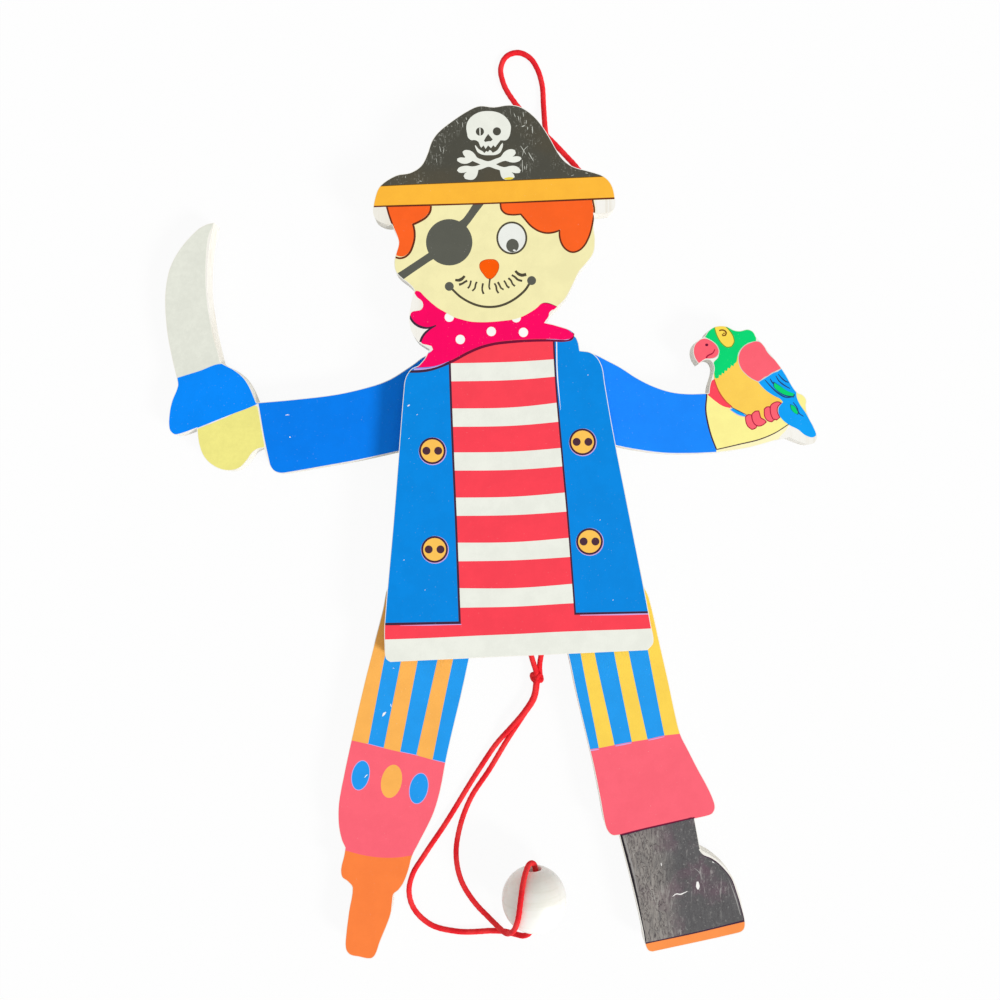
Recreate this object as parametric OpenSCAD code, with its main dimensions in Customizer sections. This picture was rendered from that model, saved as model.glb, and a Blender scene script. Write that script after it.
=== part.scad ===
// Pull-string jumping jack: a flat wooden pirate whose arms and legs swing when the cord is pulled.
// It lies on its back: +Y is the hat's end, +Z faces the viewer, and the screw heads rest on z = 0.

/* [Boards] */
// Thickness of the five cut boards
board_t = 6; // [4:0.5:8]

/* [Body board] */
// Width of the coat at its hem
coat_w = 81.4; // [76:0.2:88]
// Height of the coat, from the hem to the right end of the scarf
coat_h = 96.4; // [92:0.2:104]
// Width of the head
head_w = 61.5; // [56:0.5:66]
// Height of the head, from below the chin to the hat
head_h = 50; // [46:0.5:54]
// Width of the scarf
scarf_w = 51; // [48:0.5:54]
// Height of the scarf
scarf_h = 24; // [22:0.5:26]
// Width of the hat across its brim
hat_w = 73.2; // [66:0.2:80]
// Height of the hat, from under the brim to the crown
hat_h = 35.2; // [30:0.2:42]

/* [Arms] */
// Width of the sabre arm, from the shoulder's inner end to the sabre
sabre_arm_w = 97; // [88:0.5:104]
// Height of the sabre arm, from the cuff to the blade's point
sabre_arm_h = 78.8; // [72:0.2:84]
// Width of the parrot arm, from the shoulder's inner end to the tail
parrot_arm_w = 86; // [80:0.5:94]
// Height of the parrot arm, from the sleeve to the parrot's head
parrot_arm_h = 40; // [38:0.5:44]

/* [Legs] */
// Width of the peg leg as it stands out
peg_leg_w = 45; // [43:0.5:49]
// Height of the peg leg
peg_leg_h = 124; // [116:0.5:132]
// Width of the boot leg as it stands out
boot_leg_w = 59.2; // [57:0.2:63]
// Height of the boot leg
boot_leg_h = 125; // [117:0.5:133]

/* [Pivots] */
// Distance between the two shoulder pivots
shoulder_span = 49.4; // [46:0.2:52]
// Height of the shoulder pivots over the hem
shoulder_h = 78.6; // [75:0.2:81]
// Distance between the two hip pivots
hip_span = 56.2; // [53:0.2:58]
// Height of the hip pivots over the hem
hip_h = 18.3; // [16:0.1:21]

/* [Screws, washers and spacers] */
// Diameter of a pivot screw's shank
screw_d = 3; // [2.5:0.1:3.5]
// Diameter of a pivot screw's head
screw_head_d = 6.5; // [5.5:0.1:7.5]
// Height of a pivot screw's head
screw_head_h = 2.2; // [2.2:0.1:3]
// Depth of a pivot screw in the body board
screw_bite = 3.4; // [2:0.1:3.4]
// Diameter of the washer behind a limb
washer_d = 8; // [7.6:0.1:10]
// Thickness of the washer behind a limb
washer_t = 0.8; // [0.8:0.1:1.6]
// Diameter of the spacer between a limb and the body
spacer_d = 9; // [8:0.1:11]
// Thickness of the spacer between a limb and the body
spacer_t = 2; // [1.9:0.1:3]

/* [Rigging] */
// Diameter of the cord
cord_d = 1.7; // [1.5:0.05:1.8]
// Diameter of the cord's hole in a limb
cord_hole_d = 2.8; // [2.5:0.1:3.1]
// Distance from a shoulder pivot to its cord hole
arm_lever = 11.5; // [9:0.1:12]
// Angle of an arm's cord hole above the pivot
arm_lever_angle = 25; // [15:1:30]
// Distance from a hip pivot to its cord hole
leg_lever = 13; // [11:0.1:13.5]
// Angle of a leg's cord hole above the pivot
leg_lever_angle = 21; // [15:1:25]
// Diameter of the stop knot behind a limb
stop_knot_d = 3.8; // [3.5:0.1:4.2]
// Height of the stop knot behind a limb
stop_knot_h = 2.8; // [2.4:0.1:2.8]
// Diameter of the hitch that ties a tail to a cross cord
hitch_d = 3.2; // [2.8:0.1:3.2]
// Diameter of the main knot
main_knot_d = 3.8; // [3.6:0.1:4.2]
// Length of the main knot
main_knot_l = 3.6; // [3:0.1:4.4]
// Distance of the main knot below the hem
main_knot_drop = 9.1; // [8:0.1:12]
// Distance of the main knot to the right of the coat's middle
main_knot_lean = 5.4; // [4.5:0.1:6]

/* [Pull ball] */
// Diameter of the ball
ball_d = 20; // [18:0.5:20]
// Diameter of the ball's bore
ball_bore_d = 5; // [4.6:0.1:6]

/* [Hanging loop] */
// Distance of the staple to the right of the head's middle
staple_lean = 19.9; // [17:0.1:21]
// Distance of the staple above the hat's lower edge
staple_rise = 9.1; // [7:0.1:12]
// Diameter of the staple's wire
staple_wire_d = 1; // [0.8:0.1:1.1]
// Inside width of the staple
staple_gap_w = 4.5; // [4.3:0.1:5]
// Depth of the staple's legs in the body board
staple_bite = 3.5; // [2:0.1:4]
// Diameter of the knot under the staple
loop_knot_d = 5; // [4.6:0.1:5.4]

/* [Hidden] */
$fn = 48;

// Radial clearance of a limb, a washer or a spacer on its screw
hinge_clear = 0.08;
// Radial clearance of a screw or a staple leg in its drilled hole
drill_clear = 0.02;
// Play of a limb between its washer and its spacer
side_play = 0.15;
// Free depth beyond the tip of a screw or a staple leg
tip_clear = 0.5;
// Overrun of a cut
over = 0.5;
// Straight steps along each curved stretch of a board's edge
curve_steps = 4;
// Angle between the steps of a small rounded edge
round_step = 15;
// Spacing of a cord's rings where it runs straight, in cord diameters
ring_spacing = 6;

// The layers of the toy, from the table up
washer_z = screw_head_h;
limb_z = washer_z + washer_t + side_play;
limb_front_z = limb_z + board_t;
spacer_z = limb_front_z + side_play;
body_z = spacer_z + spacer_t;
gap_z = (limb_front_z + body_z) / 2;

// Places on the body board: x from the coat's middle, y from the hem
head_base = 0.888 * coat_h;
head_lean = -0.035 * coat_w;
scarf_base = 0.911 * coat_h;
scarf_lean = -0.048 * coat_w;
hat_base = head_base + 0.92 * head_h;
hat_lean = head_lean + 0.005 * hat_w;
left_shoulder = [-shoulder_span / 2, shoulder_h];
right_shoulder = [shoulder_span / 2, shoulder_h];
left_hip = [-hip_span / 2, hip_h];
right_hip = [hip_span / 2, hip_h];

// Each outline goes clockwise in shares of its own width and height.
// The third value is 1 on a curve and 0 at a corner.
hat_shares = [[0.08, 0.012, 0], [0.045, 0.02, 1], [0.01, 0.065, 1], [0, 0.135, 1], [0.013, 0.265, 1],
    [0.035, 0.35, 1], [0.1, 0.43, 1], [0.16, 0.45, 1], [0.205, 0.505, 1], [0.232, 0.6, 1],
    [0.252, 0.707, 1], [0.28, 0.785, 1], [0.335, 0.872, 1], [0.41, 0.966, 1], [0.457, 1, 1],
    [0.515, 0.985, 1], [0.58, 0.998, 1], [0.634, 0.967, 1], [0.69, 0.868, 1], [0.735, 0.722, 1],
    [0.783, 0.537, 1], [0.828, 0.452, 1], [0.9, 0.402, 1], [0.957, 0.355, 1], [0.988, 0.281, 1],
    [1, 0.17, 1], [0.996, 0.08, 1], [0.975, 0.045, 1], [0.9, 0.04, 0]];
head_shares = [[0.1, 0.4, 0], [0.1, 0.52, 1], [0.07, 0.57, 1], [0.035, 0.605, 1], [0.01, 0.645, 1],
    [0.005, 0.7, 1], [0.015, 0.75, 1], [0.03, 0.81, 1], [0.025, 0.85, 1], [0, 0.93, 1],
    [-0.02, 1, 0], [0.98, 1, 0], [0.997, 0.93, 1], [0.992, 0.87, 1], [0.996, 0.8, 1],
    [0.986, 0.71, 1], [0.944, 0.642, 1], [0.912, 0.6, 1], [0.877, 0.52, 1], [0.839, 0.44, 1],
    [0.795, 0.39, 0], [0.7, 0.34, 0], [0.5, 0.28, 0], [0.3, 0.3, 0]];
scarf_shares = [[0.027, 0.02, 0], [0.06, 0.085, 1], [0.085, 0.145, 1], [0.102, 0.21, 1], [0.114, 0.255, 0],
    [0.075, 0.31, 1], [0.045, 0.36, 1], [0.012, 0.48, 1], [0.001, 0.6, 1], [0.002, 0.7, 1],
    [0.015, 0.83, 1], [0.033, 0.97, 1], [0.058, 1, 1], [0.3, 0.9, 0], [0.7, 0.8, 0],
    [0.785, 0.78, 1], [0.83, 0.76, 1], [0.885, 0.727, 0], [0.85, 0.665, 1], [0.826, 0.6, 1],
    [0.812, 0.535, 0], [0.868, 0.494, 1], [0.945, 0.435, 1], [0.978, 0.38, 0], [0.96, 0.2, 0],
    [0.5, 0.1, 0], [0.2, 0, 0]];
coat_shares = [[0.02, 0, 0], [0.004, 0.012, 1], [0.001, 0.05, 1], [0.004, 0.12, 1], [0.052, 0.445, 1],
    [0.09, 0.72, 1], [0.107, 0.84, 1], [0.116, 0.885, 1], [0.139, 0.914, 1], [0.17, 0.925, 0],
    [0.4, 0.98, 0], [0.725, 0.999, 0], [0.75, 0.998, 1], [0.762, 0.98, 1], [0.767, 0.952, 0],
    [0.807, 0.945, 1], [0.832, 0.926, 1], [0.848, 0.895, 1], [0.855, 0.845, 1], [0.877, 0.705, 1],
    [0.913, 0.51, 1], [0.97, 0.206, 1], [0.992, 0.08, 1], [0.998, 0.03, 1], [0.975, 0.006, 0]];

// A limb's outline is placed by the share at which its pivot stands
sabre_arm_pivot_share = [0.834, 0.259];
sabre_arm_shares = [[0.346, 0.004, 1], [0.324, 0.018, 1], [0.31, 0.055, 1], [0.299, 0.106, 0],
    [0.28, 0.103, 1],
    [0.262, 0.09, 1], [0.242, 0.058, 1], [0.22, 0.032, 1], [0.191, 0.022, 1], [0.158, 0.028, 1],
    [0.125, 0.052, 1], [0.102, 0.088, 1], [0.09, 0.14, 1], [0.087, 0.194, 0], [0.035, 0.174, 1],
    [0.013, 0.172, 1], [-0.002, 0.195, 1], [0, 0.255, 1], [0.01, 0.305, 1], [0.03, 0.362, 1],
    [0.0285, 0.395, 0], [0.016, 0.4715, 1], [0.004, 0.57, 1], [0, 0.68, 1], [0.007, 0.77, 1],
    [0.026, 0.845, 1], [0.06, 0.91, 1], [0.11, 0.972, 1], [0.14, 0.993, 1], [0.167, 1, 0],
    [0.15, 0.92, 1], [0.14, 0.83, 1], [0.137, 0.74, 1], [0.142, 0.65, 1], [0.153, 0.555, 1],
    [0.17, 0.45, 0], [0.178, 0.443, 1], [0.213, 0.418, 1], [0.24, 0.389, 1], [0.26, 0.35, 1],
    [0.28, 0.285, 0], [0.407, 0.293, 1], [0.541, 0.307, 1], [0.653, 0.334, 1], [0.71, 0.357, 1],
    [0.78, 0.407, 1], [0.83, 0.445, 1], [0.9, 0.45, 1], [0.96, 0.41, 1], [0.995, 0.34, 1],
    [0.998, 0.27, 1], [0.965, 0.18, 1], [0.9, 0.115, 1], [0.81, 0.088, 1], [0.727, 0.072, 1],
    [0.6, 0.044, 1], [0.48, 0.023, 1], [0.377, 0.006, 1]];
parrot_arm_pivot_share = [0.184, 0.48];
parrot_arm_shares = [[0.635, 0.008, 0], [0.54, 0.008, 1], [0.44, 0.02, 1], [0.33, 0.062, 1], [0.25, 0.105, 1],
    [0.15, 0.16, 1], [0.07, 0.25, 1], [0.015, 0.38, 1], [0, 0.52, 1], [0.03, 0.68, 1],
    [0.09, 0.79, 1], [0.16, 0.835, 1], [0.205, 0.812, 1], [0.258, 0.752, 1], [0.303, 0.696, 1],
    [0.36, 0.61, 1], [0.42, 0.54, 1], [0.48, 0.493, 1], [0.54, 0.473, 1], [0.604, 0.47, 0],
    [0.617, 0.472, 0], [0.621, 0.53, 1], [0.632, 0.6, 1], [0.639, 0.66, 1], [0.632, 0.715, 1],
    [0.615, 0.735, 1], [0.602, 0.726, 0], [0.584, 0.7, 0], [0.571, 0.745, 1], [0.566, 0.8, 1],
    [0.572, 0.85, 1], [0.589, 0.888, 1], [0.608, 0.908, 1], [0.622, 0.95, 1], [0.642, 0.98, 1],
    [0.664, 0.99, 1], [0.69, 0.983, 1], [0.716, 0.953, 1], [0.738, 0.945, 1], [0.765, 0.955, 1],
    [0.785, 0.935, 1], [0.797, 0.885, 1], [0.817, 0.838, 1], [0.846, 0.752, 1], [0.877, 0.66, 1],
    [0.896, 0.595, 1], [0.923, 0.485, 1], [0.938, 0.447, 1], [0.955, 0.43, 1], [0.967, 0.39, 1],
    [0.965, 0.34, 1], [0.972, 0.265, 1], [0.99, 0.18, 1], [1, 0.11, 1], [0.992, 0.06, 1],
    [0.97, 0.045, 1], [0.93, 0.075, 1], [0.9, 0.105, 0], [0.84, 0.08, 1], [0.78, 0.048, 1],
    [0.72, 0.025, 1]];
peg_leg_pivot_share = [0.662, 0.901];
peg_leg_shares = [[0.18, 0.003, 1], [0.1, 0.009, 1], [0.04, 0.015, 1], [0.012, 0.032, 1], [0.02, 0.07, 1],
    [0.045, 0.125, 1], [0.075, 0.182, 1], [0.045, 0.198, 1], [0.006, 0.21, 1], [0.001, 0.232, 1],
    [0.024, 0.262, 1], [0.036, 0.283, 0], [0.012, 0.305, 1], [-0.004, 0.345, 1], [0.003, 0.395, 1],
    [0.042, 0.459, 1], [0.105, 0.549, 1], [0.2, 0.678, 1], [0.3, 0.802, 1], [0.36, 0.875, 1],
    [0.4, 0.93, 1], [0.5, 0.98, 1], [0.66, 1, 1], [0.85, 0.995, 1], [1, 0.965, 1],
    [1.04, 0.92, 1], [1.022, 0.865, 1], [0.942, 0.744, 1], [0.877, 0.653, 1], [0.797, 0.549, 1],
    [0.757, 0.493, 1], [0.711, 0.42, 1], [0.663, 0.366, 1], [0.611, 0.328, 1], [0.548, 0.288, 1],
    [0.498, 0.255, 1], [0.47, 0.222, 1], [0.435, 0.192, 1], [0.395, 0.172, 1], [0.36, 0.162, 1],
    [0.35, 0.145, 1], [0.335, 0.113, 1], [0.298, 0.08, 1], [0.254, 0.045, 1], [0.217, 0.012, 1]];
boot_leg_pivot_share = [0.341, 0.903];
boot_leg_shares = [[0.503, 0.002, 0], [0.482, 0.006, 1], [0.467, 0.022, 1], [0.46, 0.05, 1],
    [0.432, 0.124, 1], [0.4, 0.198, 1], [0.355, 0.295, 0], [0.318, 0.295, 1], [0.294, 0.306, 1],
    [0.28, 0.325, 1], [0.262, 0.384, 1], [0.235, 0.465, 1], [0.216, 0.511, 1], [0.188, 0.578, 1],
    [0.157, 0.653, 1], [0.122, 0.749, 1], [0.065, 0.85, 1], [0.033, 0.9, 1], [0.045, 0.95, 1],
    [0.12, 0.985, 1], [0.24, 1, 1], [0.36, 1, 1], [0.45, 0.979, 1], [0.497, 0.946, 1], [0.53, 0.912, 1],
    [0.558, 0.882, 1], [0.606, 0.764, 1], [0.644, 0.668, 1], [0.671, 0.593, 1], [0.695, 0.54, 1],
    [0.733, 0.5, 1], [0.78, 0.452, 1], [0.827, 0.407, 1], [0.855, 0.374, 1], [0.862, 0.355, 1],
    [0.85, 0.341, 1], [0.828, 0.335, 1], [0.752, 0.328, 0], [0.761, 0.298, 1], [0.769, 0.272, 1],
    [0.776, 0.254, 1], [0.79, 0.247, 1], [0.832, 0.235, 1], [0.896, 0.208, 1], [0.94, 0.178, 1],
    [0.972, 0.132, 1], [0.989, 0.09, 1], [0.996, 0.065, 1], [0.988, 0.049, 1], [0.96, 0.041, 1]];

// Routes of the pull cord: x and y from the main knot, z from the table
main_knot_z = main_knot_d / 2 + drill_clear;
arm_tail_points = [[1.6, 30, 7], [2.1, 22, 6.6], [2.2, 13, 5.6], [1.6, 7.5, 4], [1.1, 4.4, 2.6],
    [1, 2.6, 1.8], [1.1, 0.8, 1.3]];
leg_tail_points = [[-4.6, 25.4, 8.6], [-3.4, 18.4, 7.2], [-2.3, 12.4, 5.7], [-1.5, 7.2, 4.3],
    [-0.8, 4.4, 3.6], [-0.3, 2.6, 3.1], [-0.1, 0.8, 2.6]];
pull_loop_points = [[-0.2, -0.4, 2.9], [-1.2, -5.6, 2.8], [-4.6, -10.8, 2.8], [-8.7, -15.3, 2.6],
    [-13.5, -20.6, 1.1], [-19.4, -28.6, 0.9], [-31.4, -46.4, 0.9], [-37.9, -55.3, 0.9],
    [-42, -61.6, 0.9], [-43.2, -66, 0.9], [-42.6, -70.6, 0.9], [-37.2, -77.2, 0.9], [-29, -79.9, 0.9],
    [-18, -80.2, 0.9], [-13.5, -80, 2.2], [-9.8, -79.6, 5.6], [-7, -78.8, 8.6], [-5.2, -76.9, 10.3],
    [-4.6, -73.6, 10.4], [-2.9, -61, 9], [-2.9, -58.2, 8.8], [-3.4, -56.2, 9.9], [-4.7, -55.4, 12],
    [-5.9, -56.6, 14.6], [-7.1, -59.7, 17.7], [-8, -63.8, 20], [-8.8, -68.4, 20], [-10, -72.9, 17.3],
    [-11.7, -76.4, 12.1], [-13.3, -78.3, 6.9], [-15.5, -77.9, 3], [-18.6, -75.4, 1.1],
    [-23, -70.3, 0.9], [-26.5, -63.8, 0.9], [-27.8, -55.6, 0.9], [-26.3, -47, 0.9], [-22.6, -38, 0.9],
    [-16.1, -28.8, 0.9], [-9.8, -19.2, 0.9], [-4.5, -11.8, 0.9], [-1, -6.8, 0.9], [0.3, -1, 1]];
// The ball hangs on the middle of the pull loop
ball_offset = [-3.7, -67];
// Route of the hanging loop: x and y from the staple, z from the table
hanging_loop_points = [[-0.9, -4.1, 9.6], [-0.9, 0, 10.3], [-1.1, 4.5, 9.5], [-1.5, 11, 6.4],
    [-2, 18, 3.8], [-2.4, 24.7, 2.8], [-2.5, 31.5, 1.1], [-2.8, 39.1, 0.9], [-4, 43.5, 0.9],
    [-6.4, 47.3, 0.9], [-10, 49, 0.9], [-13.7, 47.9, 0.9], [-15.6, 44.4, 0.9], [-15.1, 39.8, 0.9],
    [-11.8, 33.4, 0.9], [-6.8, 27.3, 0.9], [-3.2, 23.5, 0.9], [0.4, 19.7, 0.9], [4, 15.6, 0.9],
    [6.9, 12, 1.4], [8.5, 8.9, 2.8], [8.3, 6.4, 4.8], [6.3, 5.2, 7], [3.9, 4.2, 8.9], [1.8, 2.5, 10],
    [0.9, -0.2, 10.3], [0.9, -4.1, 9.6]];

// A board's edge: curved stretches between smooth points, straight ones between corners
function at(list, i) = list[(i + len(list)) % len(list)];
function xy(p) = [p.x, p.y];
function unit(v) = v / norm(v);
function heading(p, i, side) =
    at(p, i)[2] == 0
        ? unit(side > 0 ? xy(at(p, i + 1)) - xy(at(p, i)) : xy(at(p, i)) - xy(at(p, i - 1)))
        : unit(xy(at(p, i + 1)) - xy(at(p, i - 1)));
function stretch(p, i) =
    let (a = xy(at(p, i)), b = xy(at(p, i + 1)), d = norm(b - a),
        out = heading(p, i, 1) * d, back = heading(p, i + 1, -1) * d,
        n = at(p, i)[2] == 0 && at(p, i + 1)[2] == 0 ? 1 : curve_steps)
    [for (k = [0 : n - 1]) let (s = k / n)
        (2 * s ^ 3 - 3 * s ^ 2 + 1) * a + (s ^ 3 - 2 * s ^ 2 + s) * out
            + (3 * s ^ 2 - 2 * s ^ 3) * b + (s ^ 3 - s ^ 2) * back];
function edge(p) = [for (i = [0 : len(p) - 1]) each stretch(p, i)];
// Shares turned into millimetres, with the share named anchor standing at a given place
function sized(shares, w, h, place, anchor) =
    [for (s = shares) [place.x + (s.x - anchor.x) * w, place.y + (s.y - anchor.y) * h, s[2]]];
middle_share = [0.5, 0];

hat_edge = edge(sized(hat_shares, hat_w, hat_h, [hat_lean, hat_base], middle_share));
head_edge = edge(sized(head_shares, head_w, head_h, [head_lean, head_base], middle_share));
scarf_edge = edge(sized(scarf_shares, scarf_w, scarf_h, [scarf_lean, scarf_base], middle_share));
coat_edge = edge(sized(coat_shares, coat_w, coat_h, [0, 0], middle_share));
sabre_arm_edge = edge(sized(sabre_arm_shares, sabre_arm_w, sabre_arm_h, left_shoulder,
    sabre_arm_pivot_share));
parrot_arm_edge = edge(sized(parrot_arm_shares, parrot_arm_w, parrot_arm_h, right_shoulder,
    parrot_arm_pivot_share));
peg_leg_edge = edge(sized(peg_leg_shares, peg_leg_w, peg_leg_h, left_hip, peg_leg_pivot_share));
boot_leg_edge = edge(sized(boot_leg_shares, boot_leg_w, boot_leg_h, right_hip, boot_leg_pivot_share));

// The origin lies under the middle of the boards
all_edges = concat(hat_edge, head_edge, coat_edge, sabre_arm_edge, parrot_arm_edge, peg_leg_edge,
    boot_leg_edge);
all_x = [for (p = all_edges) p.x];
all_y = [for (p = all_edges) p.y];
middle = [(min(all_x) + max(all_x)) / 2, (min(all_y) + max(all_y)) / 2];
module centred() {
    translate([-middle.x, -middle.y, 0]) children();
}

// Where the cords hang, and each route moved to it
main_knot_xy = [main_knot_lean, -main_knot_drop];
staple_xy = [head_lean + staple_lean, hat_base + staple_rise];
function from(place, route) = [for (p = route) [place.x + p.x, place.y + p.y, p.z]];

// Cord holes in the limbs, before the toy is centred
function lever_end(pivot, side, lever, angle) = pivot + lever * [side * cos(angle), sin(angle)];
sabre_arm_hole = lever_end(left_shoulder, 1, arm_lever, arm_lever_angle);
parrot_arm_hole = lever_end(right_shoulder, -1, arm_lever, arm_lever_angle);
peg_leg_hole = lever_end(left_hip, 1, leg_lever, leg_lever_angle);
boot_leg_hole = lever_end(right_hip, -1, leg_lever, leg_lever_angle);
// The hitches hang a little below the cross cords' ends
cross_sag = 0.2 * arm_lever;
arm_hitch_xy = (sabre_arm_hole + parrot_arm_hole) / 2 - [0, cross_sag];
leg_hitch_xy = (peg_leg_hole + boot_leg_hole) / 2 - [0, cross_sag];
hitch_z = body_z - hitch_d / 2 - side_play;
// A tail leaves its hitch below the cross cord and runs straight to its first listed point
function tail_route(place, points) =
    let (a = [place.x, place.y - 0.4 * hitch_d, hitch_z - 0.15 * hitch_d], b = points[0],
        steps = ceil(norm(b - a) / (ring_spacing * cord_d)))
    concat([for (k = [0 : steps - 1]) a + (b - a) * k / steps], points);

// A round cord along a route: one tube whose rings are carried along without twisting
function route_way(r, i) = unit(r[min(i + 1, len(r) - 1)] - r[max(i - 1, 0)]);
function square_to(v, way) = unit(v - (v * way) * way);
// A direction that no cord starts along
cross_way = [0.3, 1, 0.2];
function ring_sides(ways) =
    [for (i = 0, side = square_to(cross_way, ways[0]); i < len(ways);
        side = i + 1 < len(ways) ? square_to(side, ways[i + 1]) : side, i = i + 1) side];
module cord(route, sides = 8) {
    ways = [for (i = [0 : len(route) - 1]) route_way(route, i)];
    rights = ring_sides(ways);
    points = [for (i = [0 : len(route) - 1], k = [0 : sides - 1])
        let (a = 360 * k / sides)
            route[i] + cord_d / 2 * (cos(a) * rights[i] + sin(a) * cross(ways[i], rights[i]))];
    tops = (len(route) - 1) * sides;
    walls = [for (i = [0 : len(route) - 2], k = [0 : sides - 1])
        let (a = i * sides + k, b = i * sides + (k + 1) % sides)
            each [[a, b, b + sides], [a, b + sides, a + sides]]];
    first = [for (k = [1 : sides - 2]) [0, k + 1, k]];
    last = [for (k = [1 : sides - 2]) [tops, tops + k, tops + k + 1]];
    polyhedron(points, concat(walls, first, last));
}

// A cross cord: up through the first limb, over a bend, across to the hitch and down again
bend_r = 0.7 * cord_d;
bend_step = 45;
stop_knot_z = limb_z - side_play - stop_knot_h / 2;
function half_cross(hole, hitch) =
    let (way = unit(hitch - hole))
    concat([[hole.x, hole.y, stop_knot_z]],
        [for (a = [0 : bend_step : 90])
            let (out = bend_r * (1 - cos(a)))
                [hole.x + way.x * out, hole.y + way.y * out, gap_z - bend_r * (1 - sin(a))]]);
function reversed(list) = [for (i = [len(list) - 1 : -1 : 0]) list[i]];
function cross_route(left, right, hitch) =
    concat(half_cross(left, hitch), [[hitch.x, hitch.y, gap_z]], reversed(half_cross(right, hitch)));
arm_cord_route = cross_route(sabre_arm_hole, parrot_arm_hole, arm_hitch_xy);
leg_cord_route = cross_route(peg_leg_hole, boot_leg_hole, leg_hitch_xy);
arm_tail_route = tail_route(arm_hitch_xy, from(main_knot_xy, arm_tail_points));
leg_tail_route = tail_route(leg_hitch_xy, from(main_knot_xy, leg_tail_points));

module board(shape, z) {
    translate([0, 0, z]) linear_extrude(board_t) polygon(shape);
}
module screw_hole(place) {
    translate([place.x, place.y, body_z - over])
        cylinder(d = screw_d + 2 * drill_clear, h = over + screw_bite + tip_clear);
}
module staple_leg_hole(side) {
    translate([staple_xy.x + side * staple_leg_x, staple_xy.y, body_z - over])
        cylinder(d = staple_wire_d + 2 * drill_clear, h = over + staple_bite + tip_clear);
}

module body_board() {
    difference() {
        centred() {
            color("#3e3c37") board(hat_edge, body_z);
            color("#f5ebb4") board(head_edge, body_z);
            color("#ff0066") board(scarf_edge, body_z);
            color("#008ae6") board(coat_edge, body_z);
        }
        centred() for (place = [left_shoulder, right_shoulder, left_hip, right_hip]) screw_hole(place);
        centred() for (side = [-1, 1]) staple_leg_hole(side);
    }
}

module limb(shape, pivot, hole) {
    centred() difference() {
        board(shape, limb_z);
        translate([pivot.x, pivot.y, limb_z - over])
            cylinder(d = screw_d + 2 * hinge_clear, h = board_t + 2 * over);
        translate([hole.x, hole.y, limb_z - over]) cylinder(d = cord_hole_d, h = board_t + 2 * over);
    }
}
module sabre_arm() {
    color("#0082ff") limb(sabre_arm_edge, left_shoulder, sabre_arm_hole);
}
module parrot_arm() {
    color("#1e87ff") limb(parrot_arm_edge, right_shoulder, parrot_arm_hole);
}
module peg_leg() {
    color("#ffb450") limb(peg_leg_edge, left_hip, peg_leg_hole);
}
module boot_leg() {
    color("#ffd750") limb(boot_leg_edge, right_hip, boot_leg_hole);
}

// A pan-head screw, head down on the table, with a cross recess in its head
module screw(place) {
    recess_w = 0.14 * screw_head_d;
    recess_l = 0.55 * screw_head_d;
    recess_h = 0.5 * screw_head_h;
    round_r = 0.3 * screw_head_h;
    shank_z = 0.75 * screw_head_h;
    centred() translate([place.x, place.y, 0]) color("silver") difference() {
        union() {
            rotate_extrude() polygon(concat([[0, 0]],
                [for (a = [0 : round_step : 90])
                    [screw_head_d / 2 - round_r * (1 - sin(a)), round_r * (1 - cos(a))]],
                [[screw_head_d / 2, screw_head_h], [0, screw_head_h]]));
            translate([0, 0, shank_z]) cylinder(d = screw_d, h = body_z + screw_bite - shank_z);
        }
        for (turn = [0, 90]) rotate(turn)
            translate([-recess_l / 2, -recess_w / 2, -over]) cube([recess_l, recess_w, recess_h + over]);
    }
}
module ring(place, z, d, t) {
    centred() translate([place.x, place.y, z]) difference() {
        cylinder(d = d, h = t);
        translate([0, 0, -over]) cylinder(d = screw_d + 2 * hinge_clear, h = t + 2 * over);
    }
}
module washer(place) {
    color("silver") ring(place, washer_z, washer_d, washer_t);
}
module spacer(place) {
    color("burlywood") ring(place, spacer_z, spacer_d, spacer_t);
}

module red() {
    color("#ec2530") children();
}
module centred_cord(route) {
    red() centred() cord(route);
}
module stop_knot(hole) {
    centred() translate([hole.x, hole.y, stop_knot_z]) knot(stop_knot_d, stop_knot_h);
}
module hitch(place) {
    red() centred() translate([place.x, place.y, hitch_z]) sphere(d = hitch_d);
}
// A knot: a barrel with rounded ends, standing on its axis
module knot(d, l) {
    round_r = 0.3 * d;
    red() rotate_extrude() polygon(concat([[0, -l / 2]],
        [for (a = [0 : round_step : 90]) [d / 2 - round_r * (1 - sin(a)), -l / 2 + round_r * (1 - cos(a))]],
        [for (a = [90 : -round_step : 0]) [d / 2 - round_r * (1 - sin(a)), l / 2 - round_r * (1 - cos(a))]],
        [[0, l / 2]]));
}
module main_knot() {
    centred() translate([main_knot_xy.x, main_knot_xy.y, main_knot_z]) rotate([90, 0, 0])
        knot(main_knot_d, main_knot_l);
}
module pull_ball() {
    centred() translate([main_knot_xy.x + ball_offset.x, main_knot_xy.y + ball_offset.y, ball_d / 2])
        color("#f0f0e8") difference() {
            sphere(d = ball_d);
            rotate([90, 0, 0]) cylinder(d = ball_bore_d, h = ball_d + 2 * over, center = true);
        }
}

// A wire staple: a crown across both strands and two legs up into the board
staple_leg_x = (staple_gap_w + staple_wire_d) / 2;
staple_crown_z = body_z - cord_d - 3 * side_play - staple_wire_d / 2;
module loop_staple() {
    color("silver") centred() translate([staple_xy.x, staple_xy.y, staple_crown_z]) {
        for (side = [-1, 1]) translate([side * staple_leg_x, 0, 0]) {
            cylinder(d = staple_wire_d, h = body_z + staple_bite - staple_crown_z);
            sphere(d = staple_wire_d);
        }
        translate([-staple_leg_x, 0, 0]) rotate([0, 90, 0]) cylinder(d = staple_wire_d, h = 2 * staple_leg_x);
    }
}
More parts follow.
